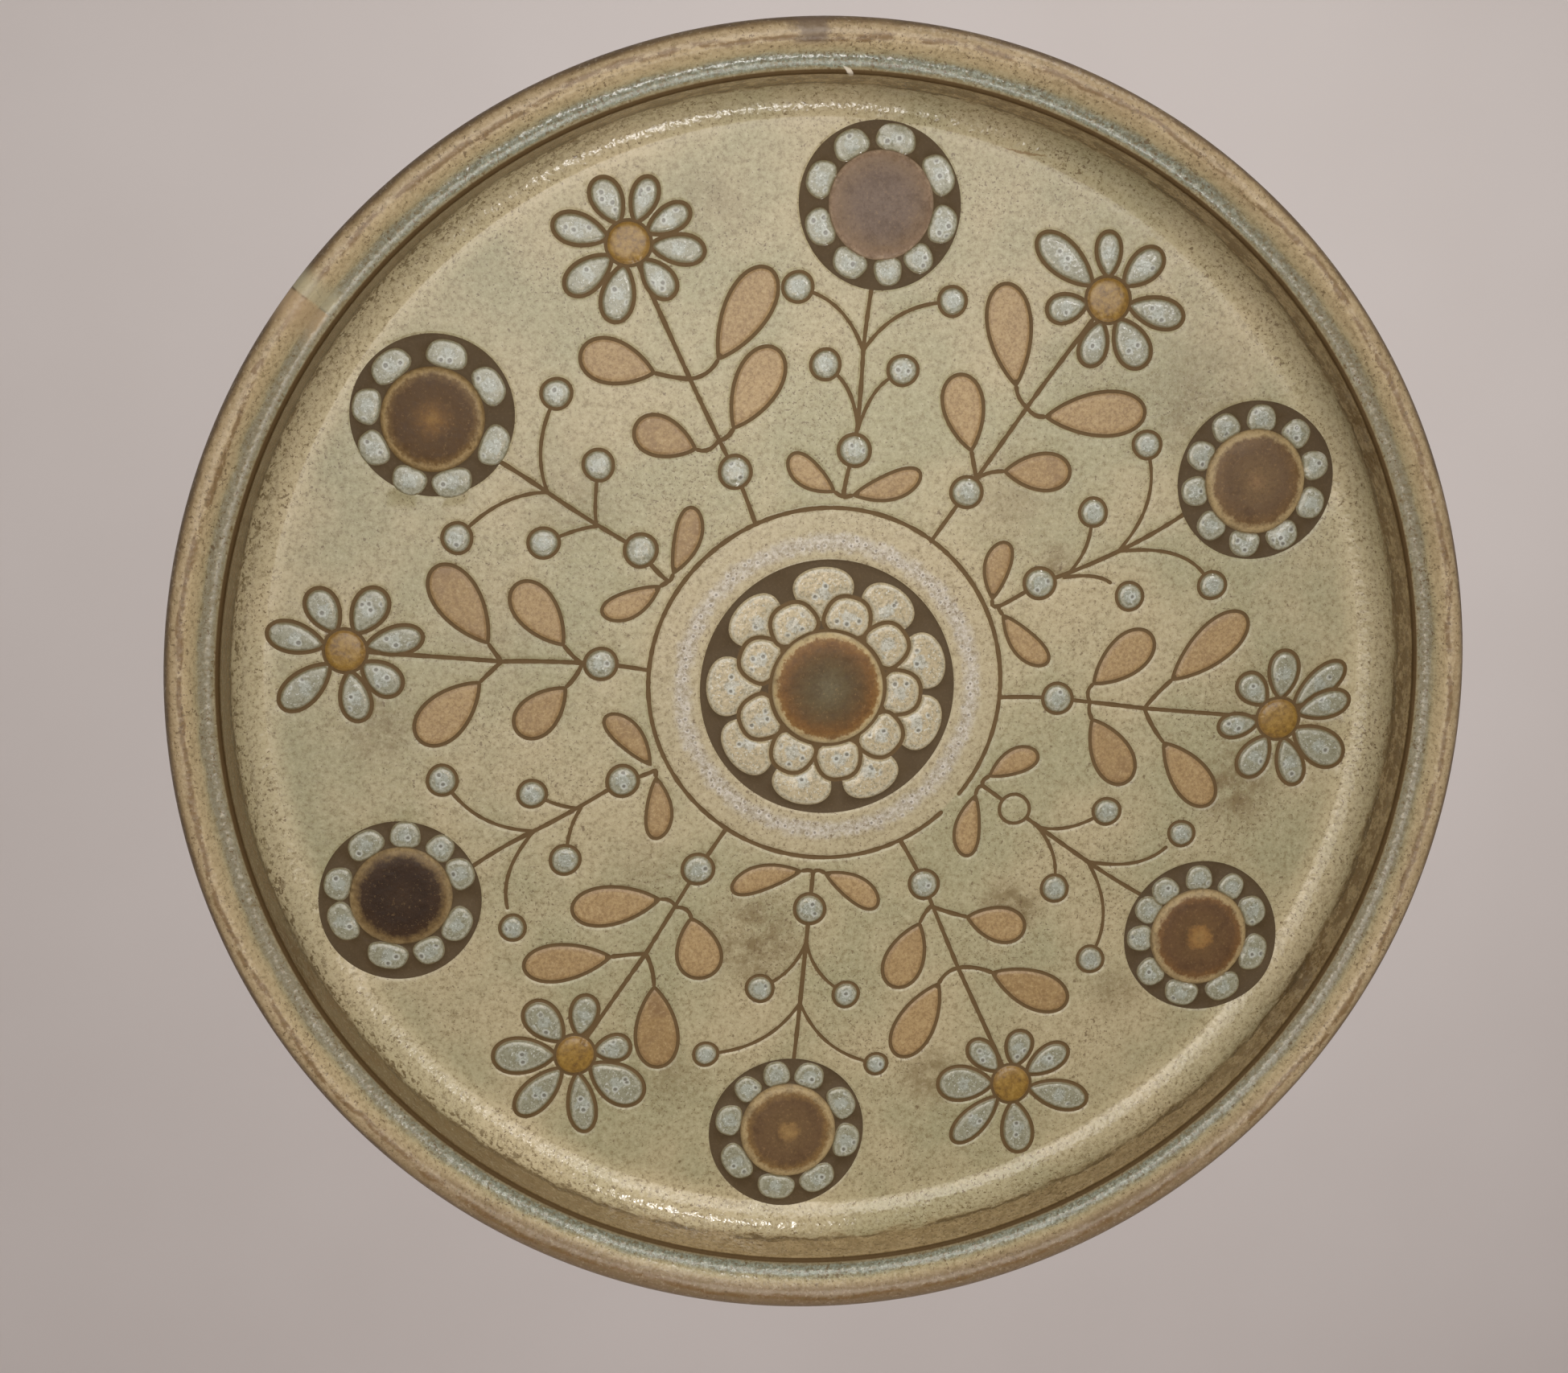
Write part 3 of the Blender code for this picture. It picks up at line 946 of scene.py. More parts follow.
@dataclass
class Floor:
    """The decorated floor: the drawing laid flat as a mesh, each coat raised to its own height."""

    drawing: Drawing
    near_step: float = 0.32
    far_step: float = 0.85
    inner_step: float = 2.0
    open_step: float = 4.2
    edge_parts: int = 4
    rng: random.Random = field(default_factory=lambda: random.Random(5))

    def triangles(self) -> tuple[np.ndarray, list[tuple[int, ...]], np.ndarray]:
        """Lays all outlines over one another and finds the patch on top in each triangle.

        Returns:
            Places of the vertices, vertex numbers of the triangles and the top patch of each.
        """
        places: list[Point] = []
        loops: list[list[int]] = []
        for patch in self.drawing.patches:
            first = len(places)
            places += patch.outline if signed_area(patch.outline) > 0 else patch.outline[::-1]
            loops.append(list(range(first, len(places))))
        places += self.loose_points(places)
        result = geometry.delaunay_2d_cdt([Vector(p) for p in places], [], loops, 0, 1e-4, True)
        flat, faces, owners = result[0], result[2], result[5]
        tops = np.array([max(ids) if ids else 0 for ids in owners])
        return np.array([(p.x, p.y) for p in flat]), [tuple(f) for f in faces], tops

    def loose_points(self, places: list[Point]) -> list[Point]:
        """Adds points beside the outlines, for rounded edges, and over the open ground.

        Args:
            places: Points of all outlines.

        Returns:
            The added points.
        """
        tree = kdtree.KDTree(len(places))
        for index, place in enumerate(places):
            tree.insert((*place, 0.0), index)
        tree.balance()
        added: list[Point] = []
        for patch in self.drawing.patches[1:]:
            if patch.coat is not Coat.BARE:
                added += self.beside(patch.outline, -self.near_step, tree)
                added += self.beside(patch.outline, -self.far_step, tree)
                added += self.beside(patch.outline, -self.inner_step, tree)
                added += self.middle_point(patch.outline, tree)
            else:
                added += self.beside(patch.outline, self.near_step, tree)
                added += self.beside(patch.outline, self.far_step, tree)
        added += self.cove_rings(tree)
        count = int(2 * FLOOR_EDGE / self.open_step)
        for row in range(count):
            for column in range(count):
                x = (column + self.rng.uniform(0.2, 0.8)) * self.open_step - FLOOR_EDGE
                y = (row + self.rng.uniform(0.2, 0.8)) * self.open_step - FLOOR_EDGE
                if math.hypot(x, y) < COVE_START - 4.0 and tree.find((x, y, 0.0))[2] > 1.7:
                    added.append((x, y))
        return added

    @staticmethod
    def middle_point(outline: Outline, tree: kdtree.KDTree) -> list[Point]:
        """Gives a patch one point in its middle, where its glaze stands highest.

        Args:
            outline: Closed outline of the patch.
            tree: All outline points.

        Returns:
            The point, or nothing where other outlines run through the middle.
        """
        middle = np.mean(np.array(outline), axis=0)
        clear = tree.find((middle[0], middle[1], 0.0))[2] > 1.2
        return [(float(middle[0]), float(middle[1]))] if clear else []

    @staticmethod
    def cove_rings(tree: kdtree.KDTree) -> list[Point]:
        """Lays rings of points over the start of the cove, so that it bends smoothly.

        Args:
            tree: All outline points.

        Returns:
            Points of the rings that no outline comes near.
        """
        added: list[Point] = []
        for radius in (171.5, 172.8, COVE_START, 175.1, 176.2, 177.3, 178.3, 179.2):
            for index in range(TURN_STEPS):
                turn = math.tau * index / TURN_STEPS
                x, y = radius * math.cos(turn), radius * math.sin(turn)
                if tree.find((x, y, 0.0))[2] > 0.6:
                    added.append((x, y))
        return added

    def beside(self, outline: Outline, distance: float, tree: kdtree.KDTree) -> list[Point]:
        """Offsets an outline and keeps the points that no other outline comes near.

        Args:
            outline: Closed outline.
            distance: Distance to its outside; negative goes inside.
            tree: All outline points.

        Returns:
            The kept points.
        """
        clear = 0.85 * abs(distance)
        kept = []
        for x, y in offset(outline, distance).tolist():
            if math.hypot(x, y) < COVE_START - 3.0 and tree.find((x, y, 0.0))[2] > clear:
                kept.append((x, y))
        return kept

    def build(self) -> bpy.types.Object:
        """Makes the floor's mesh.

        Returns:
            The floor, with attributes for each face's tone and each vertex's place in its patch.
        """
        flat, faces, tops = self.triangles()
        patches = self.drawing.patches
        coats = [patches[top].coat for top in tops]
        edge, owner = self.edge_distances(flat, faces, tops)
        heights = []
        for place, distance, top in zip(flat.tolist(), edge, owner):
            coat = patches[top].coat if distance > 0 else Coat.BARE
            heights.append(self.height(math.hypot(*place), distance, coat))
        points = [row_place(x, z, h) for (x, z), h in zip(flat.tolist(), heights)]
        mesh = bpy.data.meshes.new("floor")
        mesh.from_pydata(points, [], faces)
        slots = list(Coat)
        mesh.polygons.foreach_set("material_index", [slots.index(coat) for coat in coats])
        store(mesh, "tone", "FACE", [patches[top].tone for top in tops])
        store(mesh, "edge", "POINT", edge)
        store(mesh, "heart", "POINT", self.hearts(flat, owner))
        floor = bpy.data.objects.new("floor", mesh)
        bpy.context.scene.collection.objects.link(floor)
        turn_outward(mesh)
        LOG.info("floor: %d patches, %d triangles", len(patches), len(faces))
        return floor

    def hearts(self, flat: np.ndarray, owner: list[int]) -> list[float]:
        """Measures how far each vertex is from the middle of its patch.

        Args:
            flat: Places of the vertices.
            owner: The patch of each vertex.

        Returns:
            Distances in millimetres.
        """
        outlines = [np.array(patch.outline) for patch in self.drawing.patches]
        middles = np.array([np.mean(outline, axis=0) for outline in outlines])
        gaps = flat - middles[np.array(owner)]
        return np.minimum(np.hypot(gaps[:, 0], gaps[:, 1]), FAR).tolist()

    def edge_distances(
        self, flat: np.ndarray, faces: list[tuple[int, ...]], tops: np.ndarray
    ) -> tuple[list[float], list[int]]:
        """Measures how far each vertex is from the edge of its patch.

        Args:
            flat: Places of the vertices.
            faces: Vertex numbers of the triangles.
            tops: Top patch of each triangle.

        Returns:
            Distance and patch of each vertex; the distance of vertices on an edge is zero.
        """
        patches = self.drawing.patches
        first_owner: dict[tuple[int, int], int] = {}
        edges: set[tuple[int, int]] = set()
        owner_of = [0] * len(flat)
        for face, top in zip(faces, tops.tolist()):
            for a, b in zip(face, face[1:] + face[:1]):
                key = (min(a, b), max(a, b))
                other = first_owner.setdefault(key, top)
                if patches[other].coat is not patches[top].coat or (
                    other != top and patches[top].coat is not Coat.BARE
                ):
                    edges.add(key)
            for corner in face:
                owner_of[corner] = top
        samples = kdtree.KDTree(self.edge_parts * len(edges))
        for number, (a, b) in enumerate(sorted(edges)):
            for part in range(self.edge_parts):
                share = part / self.edge_parts
                place = flat[a] * (1 - share) + flat[b] * share
                samples.insert((place[0], place[1], 0.0), self.edge_parts * number + part)
        samples.balance()
        distances = [min(FAR, samples.find((x, y, 0.0))[2]) for x, y in flat.tolist()]
        for a, b in edges:
            distances[a] = distances[b] = 0.0
        return distances, owner_of

    @staticmethod
    def height(radius: float, edge: float, coat: Coat) -> float:
        """Height of the floor's surface at a vertex.

        Args:
            radius: Distance from the middle of the plate.
            edge: Distance from the edge of the vertex's patch.
            coat: Coat of that patch.

        Returns:
            Height over the floor in millimetres, the cove included.
        """
        past = max(0.0, radius - COVE_START)
        base = COVE_RADIUS - math.sqrt(COVE_RADIUS**2 - past**2)
        if radius > FLOOR_EDGE - 0.01:
            return base
        if coat is Coat.BARE:
            return base + BARE_LEVEL
        rise = RISES.get(coat, DISC_RISE)
        share = 1 - min(1.0, edge / rise.reach)
        return base + BARE_LEVEL + (rise.height - BARE_LEVEL) * math.sqrt(1 - share**2)


def store(mesh: bpy.types.Mesh, name: str, domain: str, values: Sequence[float]) -> None:
    """Stores a number for each vertex or face of a mesh.

    Args:
        mesh: The mesh.
        name: Name of the attribute.
        domain: POINT for vertices, FACE for faces.
        values: The numbers in the mesh's own order.
    """
    mesh.attributes.new(name, "FLOAT", domain).data.foreach_set("value", values)


def row_place(x: float, z: float, height: float) -> Triple:
    """Turns a place on the plate into the row frame.

    Args:
        x: Millimetres to the right of the middle.
        z: Millimetres over the middle.
        height: Millimetres in front of the floor.

    Returns:
        The place in metres.
    """
    return (x * MM, FLOOR_PLANE - height * MM, PLATE_MIDDLE + z * MM)


def turn_outward(mesh: bpy.types.Mesh) -> None:
    """Turns every face of the floor towards the viewer in front of the plate.

    Args:
        mesh: Mesh of the floor.
    """
    work = bmesh.new()
    work.from_mesh(mesh)
    wrong = [face for face in work.faces if face.normal.y > 0]
    bmesh.ops.reverse_faces(work, faces=wrong)
    work.to_mesh(mesh)
    work.free()


@dataclass
class TurnedBody:
    """The thrown dish: cove, wall, lip, rolled rim, outside, back and foot ring, in millimetres."""

    steps: int = TURN_STEPS
    hole_diameter: float = 3.4
    hole_clock_angle: float = 22.0

    def profile(self) -> list[Point]:
        """Section of the dish from the middle of its floor to the middle of its back.

        Returns:
            Radius and height of each point.
        """
        points: list[Point] = [(0.0, 0.0), (COVE_START, 0.0)]
        for radius in (175.5, 177.0, 178.5, FLOOR_EDGE):
            past = radius - COVE_START
            points.append((radius, COVE_RADIUS - math.sqrt(COVE_RADIUS**2 - past**2)))
        points += arc((174.0, 9.5), 9.5, -45.0, 0.0, 6)
        points += [(183.75, 14.0), (184.0, 18.0), (184.12, 20.8), (184.3, 21.65), (184.8, 22.0)]
        points += [(185.6, 21.75), (186.6, 21.4), (187.75, 21.4), (188.9, 21.75)]
        points += [(190.2, 22.75), (191.5, 24.3), (192.6, 25.6), (193.7, 26.3)]
        points += arc((195.0, 21.5), 5.0, 90.0, -45.0, 14)
        points += [(197.2, 17.2), (194.5, 16.8), (193.0, 16.2), (192.35, 14.5)]
        points += arc((176.25, 7.5), 16.0, 10.0, -90.0, 11)
        points += [(160.0, -8.5), (145.0, -8.5), (132.6, -8.5), (131.75, -9.0)]
        points += [(131.1, -14.2), (130.6, -14.85), (130.0, -15.0), (124.0, -15.0)]
        points += [(123.4, -14.85), (122.95, -14.2), (122.2, -9.0), (121.4, -8.5)]
        points += [(90.0, -8.5), (45.0, -8.5), (0.0, -8.5)]
        return points

    def build(self) -> bpy.types.Object:
        """Spins the section, drills the wire holes and opens the floor for the drawing.

        Returns:
            The body, open where the decorated floor goes.
        """
        points = self.profile()
        bpy.ops.mesh.primitive_plane_add(size=0.01)
        body = bpy.context.object
        body.name = "plate_body"
        work = bmesh.new()
        verts = [work.verts.new(row_place(radius, 0.0, height)) for radius, height in points]
        for first, second in zip(verts, verts[1:]):
            work.edges.new((first, second))
        work.to_mesh(body.data)
        work.free()
        bpy.ops.object.mode_set(mode="EDIT")
        bpy.ops.mesh.select_all(action="SELECT")
        bpy.ops.mesh.spin(
            steps=self.steps,
            angle=math.tau,
            center=(0.0, 0.0, PLATE_MIDDLE),
            axis=(0.0, 1.0, 0.0),
        )
        bpy.ops.mesh.select_all(action="SELECT")
        bpy.ops.mesh.remove_doubles(threshold=0.00001)
        bpy.ops.mesh.normals_make_consistent(inside=False)
        bpy.ops.object.mode_set(mode="OBJECT")
        body.location = (0.0, 0.0, 0.0)
        for side in (-1.0, 1.0):
            self.drill(body, side * self.hole_clock_angle)
        self.open_floor(body)
        LOG.info("body: %d faces", len(body.data.polygons))
        return body

    def drill(self, body: bpy.types.Object, clock_angle: float) -> None:
        """Drills one hole for the hanging wire through the foot ring.

        Args:
            body: The dish.
            clock_angle: Where the hole is, clockwise from the top.
        """
        turn = math.radians(clock_angle)
        out = Vector((math.sin(turn), 0.0, math.cos(turn)))
        middle = Vector((0.0, -0.0031, PLATE_MIDDLE)) + out * 0.127
        bpy.ops.object.select_all(action="DESELECT")
        bpy.ops.mesh.primitive_cylinder_add(
            vertices=24, radius=self.hole_diameter / 2 * MM, depth=0.018, location=middle
        )
        drill = bpy.context.object
        drill.rotation_mode = "QUATERNION"
        drill.rotation_quaternion = out.to_track_quat("Z", "Y")
        cut = body.modifiers.new("wire_hole", "BOOLEAN")
        cut.operation = "DIFFERENCE"
        cut.object = drill
        bpy.context.view_layer.objects.active = body
        bpy.ops.object.modifier_apply(modifier=cut.name)
        bpy.data.objects.remove(drill, do_unlink=True)

    @staticmethod
    def open_floor(body: bpy.types.Object) -> None:
        """Takes away the plain floor inside the ring where the drawing begins.

    Args:
        body: The turned body.
    """
        work = bmesh.new()
        work.from_mesh(body.data)
        gone = []
        for face in work.faces:
            spots = [vert.co for vert in face.verts]
            reach = max(math.hypot(spot.x, spot.z - PLATE_MIDDLE) for spot in spots)
            front = max(spot.y for spot in spots) < FLOOR_PLANE + 0.5 * MM
            if front and reach < (FLOOR_EDGE + 0.05) * MM:
                gone.append(face)
        bmesh.ops.delete(work, geom=gone, context="FACES")
        work.to_mesh(body.data)
        work.free()


def arc(centre: Point, radius: float, start: float, end: float, count: int) -> list[Point]:
    """Samples an arc of the section.

    Args:
        centre: Middle of the arc.
        radius: Its radius.
        start: Angle of the first point, counter-clockwise from outward.
        end: Angle of the last point.
        count: Number of steps.

    Returns:
        Points of the arc in order.
    """
    points = []
    for index in range(count + 1):
        turn = math.radians(start + (end - start) * index / count)
        points.append((centre[0] + radius * math.cos(turn), centre[1] + radius * math.sin(turn)))
    return points


@dataclass
class Plate:
    """The whole plate as one piece."""

    body: TurnedBody = field(default_factory=TurnedBody)
    drawing: Drawing = field(default_factory=Drawing)

    def build(self, materials: list[bpy.types.Material]) -> bpy.types.Object:
        """Joins body and floor and marks where each vertex lies along the section.

        Args:
            materials: Material of each coat, in the order of the coats.

        Returns:
            The plate.
        """
        self.drawing.draw_all()
        floor = Floor(self.drawing).build()
        for material in materials:
            floor.data.materials.append(material)
        body = self.body.build()
        body.data.materials.append(materials[0])
        store(body.data, "edge", "POINT", [FAR] * len(body.data.vertices))
        bpy.ops.object.select_all(action="DESELECT")
        floor.select_set(True)
        body.select_set(True)
        bpy.context.view_layer.objects.active = floor
        bpy.ops.object.join()
        bpy.ops.object.mode_set(mode="EDIT")
        bpy.ops.mesh.select_all(action="SELECT")
        bpy.ops.mesh.remove_doubles(threshold=0.00002)
        bpy.ops.object.mode_set(mode="OBJECT")
        floor.name = "glazed_plate"
        floor.data.name = "glazed_plate"
        self.mark_section(floor.data)
        bpy.ops.object.shade_smooth_by_angle(angle=math.radians(62.0))
        open_edges = self.count_open_edges(floor.data)
        LOG.info("plate: %d vertices, %d open edges", len(floor.data.vertices), open_edges)
        return floor

    def mark_section(self, mesh: bpy.types.Mesh) -> None:
        """Stores how far along the section each vertex lies, in millimetres from the middle.

        Args:
            mesh: The plate's mesh.
        """
        section = np.array(self.body.profile())
        lengths = np.hypot(*np.diff(section, axis=0).T)
        run = np.concatenate([[0.0], np.cumsum(lengths)])
        spots = np.empty(3 * len(mesh.vertices))
        mesh.vertices.foreach_get("co", spots)
        spots = spots.reshape(-1, 3)
        radius = np.hypot(spots[:, 0], spots[:, 2] - PLATE_MIDDLE) / MM
        height = (FLOOR_PLANE - spots[:, 1]) / MM
        best = np.full(len(spots), 1e9)
        value = radius.copy()
        for index, length in enumerate(lengths):
            start, along = section[index], (section[index + 1] - section[index]) / length
            ahead = (radius - start[0]) * along[0] + (height - start[1]) * along[1]
            ahead = np.clip(ahead, 0.0, length)
            nearest = start[:, None] + ahead * along[:, None]
            gap = np.hypot(radius - nearest[0], height - nearest[1])
            nearer = gap < best - 1e-6
            best = np.where(nearer, gap, best)
            value = np.where(nearer, run[index] + ahead, value)
        store(mesh, "run", "POINT", value)

    @staticmethod
    def count_open_edges(mesh: bpy.types.Mesh) -> int:
        """Counts edges that don't lie between exactly two faces.

    Args:
        mesh: The mesh to look at.

    Returns:
        The number of such edges.
    """
        work = bmesh.new()
        work.from_mesh(mesh)
        count = sum(1 for edge in work.edges if len(edge.link_faces) != 2)
        work.free()
        return count


Socket = bpy.types.NodeSocket
Value = float | Socket


@dataclass(frozen=True)
class Band:
    """A stretch in millimetres, mostly of the section, that starts and ends softly."""

    rise: float
    full: float
    fade: float
    end: float
    rest: float = 0.0


class Board:
    """The node tree of one material, with short calls for the nodes that the glazes share."""

    def __init__(self, name: str) -> None:
        """Starts an empty material.

        Args:
            name: Name of the material.
        """
        self.material = bpy.data.materials.new(name)
        self.material.use_nodes = True
        self.tree = self.material.node_tree
        self.tree.nodes.clear()
        coords = self.add("ShaderNodeTexCoord")
        mapping = self.add("ShaderNodeMapping")
        mapping.inputs["Location"].default_value = (0.0, 0.0, -PLATE_MIDDLE / MM)
        mapping.inputs["Scale"].default_value = (1 / MM, 1 / MM, 1 / MM)
        self.tree.links.new(coords.outputs["Object"], mapping.inputs["Vector"])
        self.place = mapping.outputs["Vector"]
        self.colour: Value | Colour = 0.0

    @cached_property
    def run(self) -> Socket:
        """Distance along the section of the plate, in millimetres."""
        return self.attribute("run")

    def add(self, kind: str) -> bpy.types.Node:
        """Adds a node of a kind."""
        return self.tree.nodes.new(kind)

    def feed(self, socket: Socket, value: Value | Colour | Triple) -> None:
        """Links a socket into an input, or sets the input to a constant.

        Args:
            socket: The input.
            value: Socket or constant.
        """
        if isinstance(value, bpy.types.NodeSocket):
            self.tree.links.new(value, socket)
        else:
            socket.default_value = value

    def vector(
        self, operation: str, first: Socket, second: Socket | Triple = (0.0, 0.0, 0.0)
    ) -> bpy.types.Node:
        """Adds a sum of two vectors.

        Args:
            operation: Name of the operation.
            first: First vector.
            second: Second vector.

        Returns:
            The node, because a distance has an output of its own.
        """
        node = self.add("ShaderNodeVectorMath")
        node.operation = operation
        self.feed(node.inputs[0], first)
        self.feed(node.inputs[1], second)
        return node

    def cloud(self, place: Socket, scale: float, detail: float, rough: float) -> Socket:
        """Adds a noise at a place.

        Args:
            place: Where the noise is read.
            scale: Number of features in one unit of the place.
            detail: Number of finer layers.
            rough: Strength of the finer layers.

        Returns:
            Value from zero to one.
        """
        node = self.add("ShaderNodeTexNoise")
        node.inputs["Scale"].default_value = scale
        node.inputs["Detail"].default_value = detail
        node.inputs["Roughness"].default_value = rough
        self.feed(node.inputs["Vector"], place)
        return node.outputs["Fac"]

    def noise(
        self, size: float, detail: float = 4.0, rough: float = 0.55, seed: float = 0.0
    ) -> Socket:
        """Adds a noise whose features have about a given size.

        Args:
            size: Size of the features in millimetres.
            detail: Number of finer layers.
            rough: Strength of the finer layers.
            seed: Shift that tells two noises apart.

        Returns:
            Value from zero to one.
        """
        shift = (37.0 * seed, 11.0 * seed, 53.0 * seed)
        place = self.vector("ADD", self.place, shift).outputs[0]
        return self.cloud(place, 1.0 / size, detail, rough)

    def attribute(self, name: str) -> Socket:
        """Reads a number stored on the mesh.

        Args:
            name: Name of the attribute.

        Returns:
            The number.
        """
        node = self.add("ShaderNodeAttribute")
        node.attribute_name = name
        return node.outputs["Fac"]

    def math(
        self, operation: str, first: Value, second: Value = 0.0, clamp: bool = False
    ) -> Socket:
        """Adds a sum of two values.

        Args:
            operation: Name of the operation.
            first: First value.
            second: Second value.
            clamp: Whether the result is kept from zero to one.

        Returns:
            The result.
        """
        node = self.add("ShaderNodeMath")
        node.operation = operation
        node.use_clamp = clamp
        self.feed(node.inputs[0], first)
        self.feed(node.inputs[1], second)
        return node.outputs[0]

    def times(self, first: Value, second: Value) -> Socket:
        """Multiplies two values."""
        return self.math("MULTIPLY", first, second)

    def plus(self, first: Value, second: Value) -> Socket:
        """Adds two values."""
        return self.math("ADD", first, second)

    def minus(self, first: Value, second: Value) -> Socket:
        """Takes the second value from the first."""
        return self.math("SUBTRACT", first, second)

    def greater(self, first: Value, second: Value) -> Socket:
        """Finds the greater of two values."""
        return self.math("MAXIMUM", first, second)

    def unsigned(self, value: Value) -> Socket:
        """Drops the sign of a value."""
        return self.math("ABSOLUTE", value)

    def centred(self, noise: Socket) -> Socket:
        """Shifts a noise so that it strays evenly to both sides of zero."""
        return self.minus(noise, 0.5)

    def strayed(self, value: Value, stray: Socket, size: float) -> Socket:
        """Lets a value stray.

        Args:
            value: The value.
            stray: A centred noise.
            size: How far the value strays from one end of the noise to the other.

        Returns:
            The value with its stray.
        """
        return self.plus(value, self.times(stray, size))

    def span(
        self,
        value: Value,
        low: float,
        high: float,
        out_low: float = 0.0,
        out_high: float = 1.0,
    ) -> Socket:
        """Spreads a value smoothly over a range.

        Args:
            value: The value.
            low: Where the range begins.
            high: Where it ends.
            out_low: Result at its beginning.
            out_high: Result at its end.

        Returns:
            The result.
        """
        node = self.add("ShaderNodeMapRange")
        node.interpolation_type = "SMOOTHSTEP"
        self.feed(node.inputs["Value"], value)
        node.inputs["From Min"].default_value = low
        node.inputs["From Max"].default_value = high
        node.inputs["To Min"].default_value = out_low
        node.inputs["To Max"].default_value = out_high
        return node.outputs["Result"]

    def fading(self, value: Value, full: float, end: float, most: float = 1.0) -> Socket:
        """Lets an effect fade to nothing.

        Args:
            value: The value that it depends on.
            full: Where it has its full strength.
            end: Where it is gone.
            most: Its full strength.

        Returns:
            The strength.
        """
        return self.span(value, full, end, most, 0.0)

    def band(
        self,
        band: Band,
        most: float = 1.0,
        rising: Socket | None = None,
        falling: Socket | None = None,
    ) -> Socket:
        """Marks where a point lies in a band.

        Args:
            band: The band.
            most: The result inside the band.
            rising: What the band's start is measured on, if not on the run.
            falling: What its end is measured on, if not on the run.

        Returns:
            Zero before the band; past its end, the band's rest.
        """
        start = self.span(rising or self.run, band.rise, band.full, 0.0, most)
        end = self.span(falling or self.run, band.fade, band.end, 1.0, band.rest)
        return self.times(start, end)

    def ramp(self, value: Value, stops: Stops) -> Socket:
        """Colours a value by stops.

        Args:
            value: Value from zero to one.
            stops: Place and colour of each stop.

        Returns:
            The colour.
        """
        node = self.add("ShaderNodeValToRGB")
        elements = node.color_ramp.elements
        while len(elements) < len(stops):
            elements.new(0.5)
        for element, (place, colour) in zip(elements, stops):
            element.position = place
            element.color = colour
        self.feed(node.inputs["Fac"], value)
        return node.outputs["Color"]

    def mix(self, share: Value, first: Value | Colour, second: Value | Colour) -> Socket:
        """Blends two colours.

        Args:
            share: Share of the second colour.
            first: First colour.
            second: Second colour.

        Returns:
            The blend.
        """
        node = self.add("ShaderNodeMix")
        node.data_type = "RGBA"
        self.feed(node.inputs[0], share)
        self.feed(node.inputs[6], first)
        self.feed(node.inputs[7], second)
        return node.outputs[2]

    def cover(self, share: Value, colour: Value | Colour) -> None:
        """Lays a share of a colour over the board's colour so far."""
        self.colour = self.mix(share, self.colour, colour)

    def parts(self, vector: Socket) -> tuple[Socket, Socket, Socket]:
        """Takes a vector or colour apart into its three numbers.

        Args:
            vector: The vector or colour.

        Returns:
            The three numbers.
        """
        node = self.add("ShaderNodeSeparateXYZ")
        self.feed(node.inputs[0], vector)
        return node.outputs[0], node.outputs[1], node.outputs[2]

    def flat(self) -> Socket:
        """Drops the point that is shaded onto the face of the plate."""
        return self.vector("MULTIPLY", self.place, (1.0, 0.0, 1.0)).outputs[0]

    def away(self, x: float, z: float) -> Socket:
        """Measures the distance of a point from a place on the plate.

        Args:
            x: Millimetres to the right of the middle.
            z: Millimetres over the middle.

        Returns:
            The distance in millimetres.
        """
        return self.vector("DISTANCE", self.flat(), (x, 0.0, z)).outputs["Value"]

    def outward(self) -> Socket:
        """Finds the direction from the middle of the plate, as a vector of length one."""
        return self.vector("NORMALIZE", self.flat()).outputs[0]

    def bearing(self) -> tuple[Socket, Socket]:
        """Finds how far right and how far up a point lies from the middle, each from -1 to 1."""
        right, _, up = self.parts(self.outward())
        return right, up

    def pits(self, spacing: float, seed: float) -> tuple[Socket, Socket]:
        """Scatters round pits over the face of the plate.

        Args:
            spacing: Distance between neighbouring pits in millimetres.
            seed: Shift that tells two sets apart.

        Returns:
            Distance from the nearest pit in millimetres, and a number of its own for each pit.
        """
        x, _, z = self.parts(self.place)
        flat = self.add("ShaderNodeCombineXYZ")
        self.feed(flat.inputs[0], self.plus(x, 91.0 * seed))
        self.feed(flat.inputs[1], z)
        node = self.add("ShaderNodeTexVoronoi")
        node.voronoi_dimensions = "2D"
        node.inputs["Scale"].default_value = 1.0 / spacing
        self.feed(node.inputs["Vector"], flat.outputs[0])
        own = self.parts(node.outputs["Color"])[0]
        return self.times(node.outputs["Distance"], spacing), own

    def streaks(self, along: float, across: float, seed: float) -> Socket:
        """Adds a noise drawn out round the plate, as glaze runs on a turned rim.

        Args:
            along: Size of the features round the plate in millimetres.
            across: Their size along the section.
            seed: Shift that tells two noises apart.

        Returns:
            Value from zero to one.
        """
        around = self.add("ShaderNodeVectorMath")
        around.operation = "SCALE"
        self.feed(around.inputs[0], self.outward())
        around.inputs["Scale"].default_value = WALL_RADIUS / along
        up = self.add("ShaderNodeCombineXYZ")
        self.feed(up.inputs[1], self.plus(self.math("DIVIDE", self.run, across), seed * 7.0))
        whole = self.vector("ADD", around.outputs[0], up.outputs[0]).outputs[0]
        return self.cloud(whole, 1.0, 5.0, 0.65)

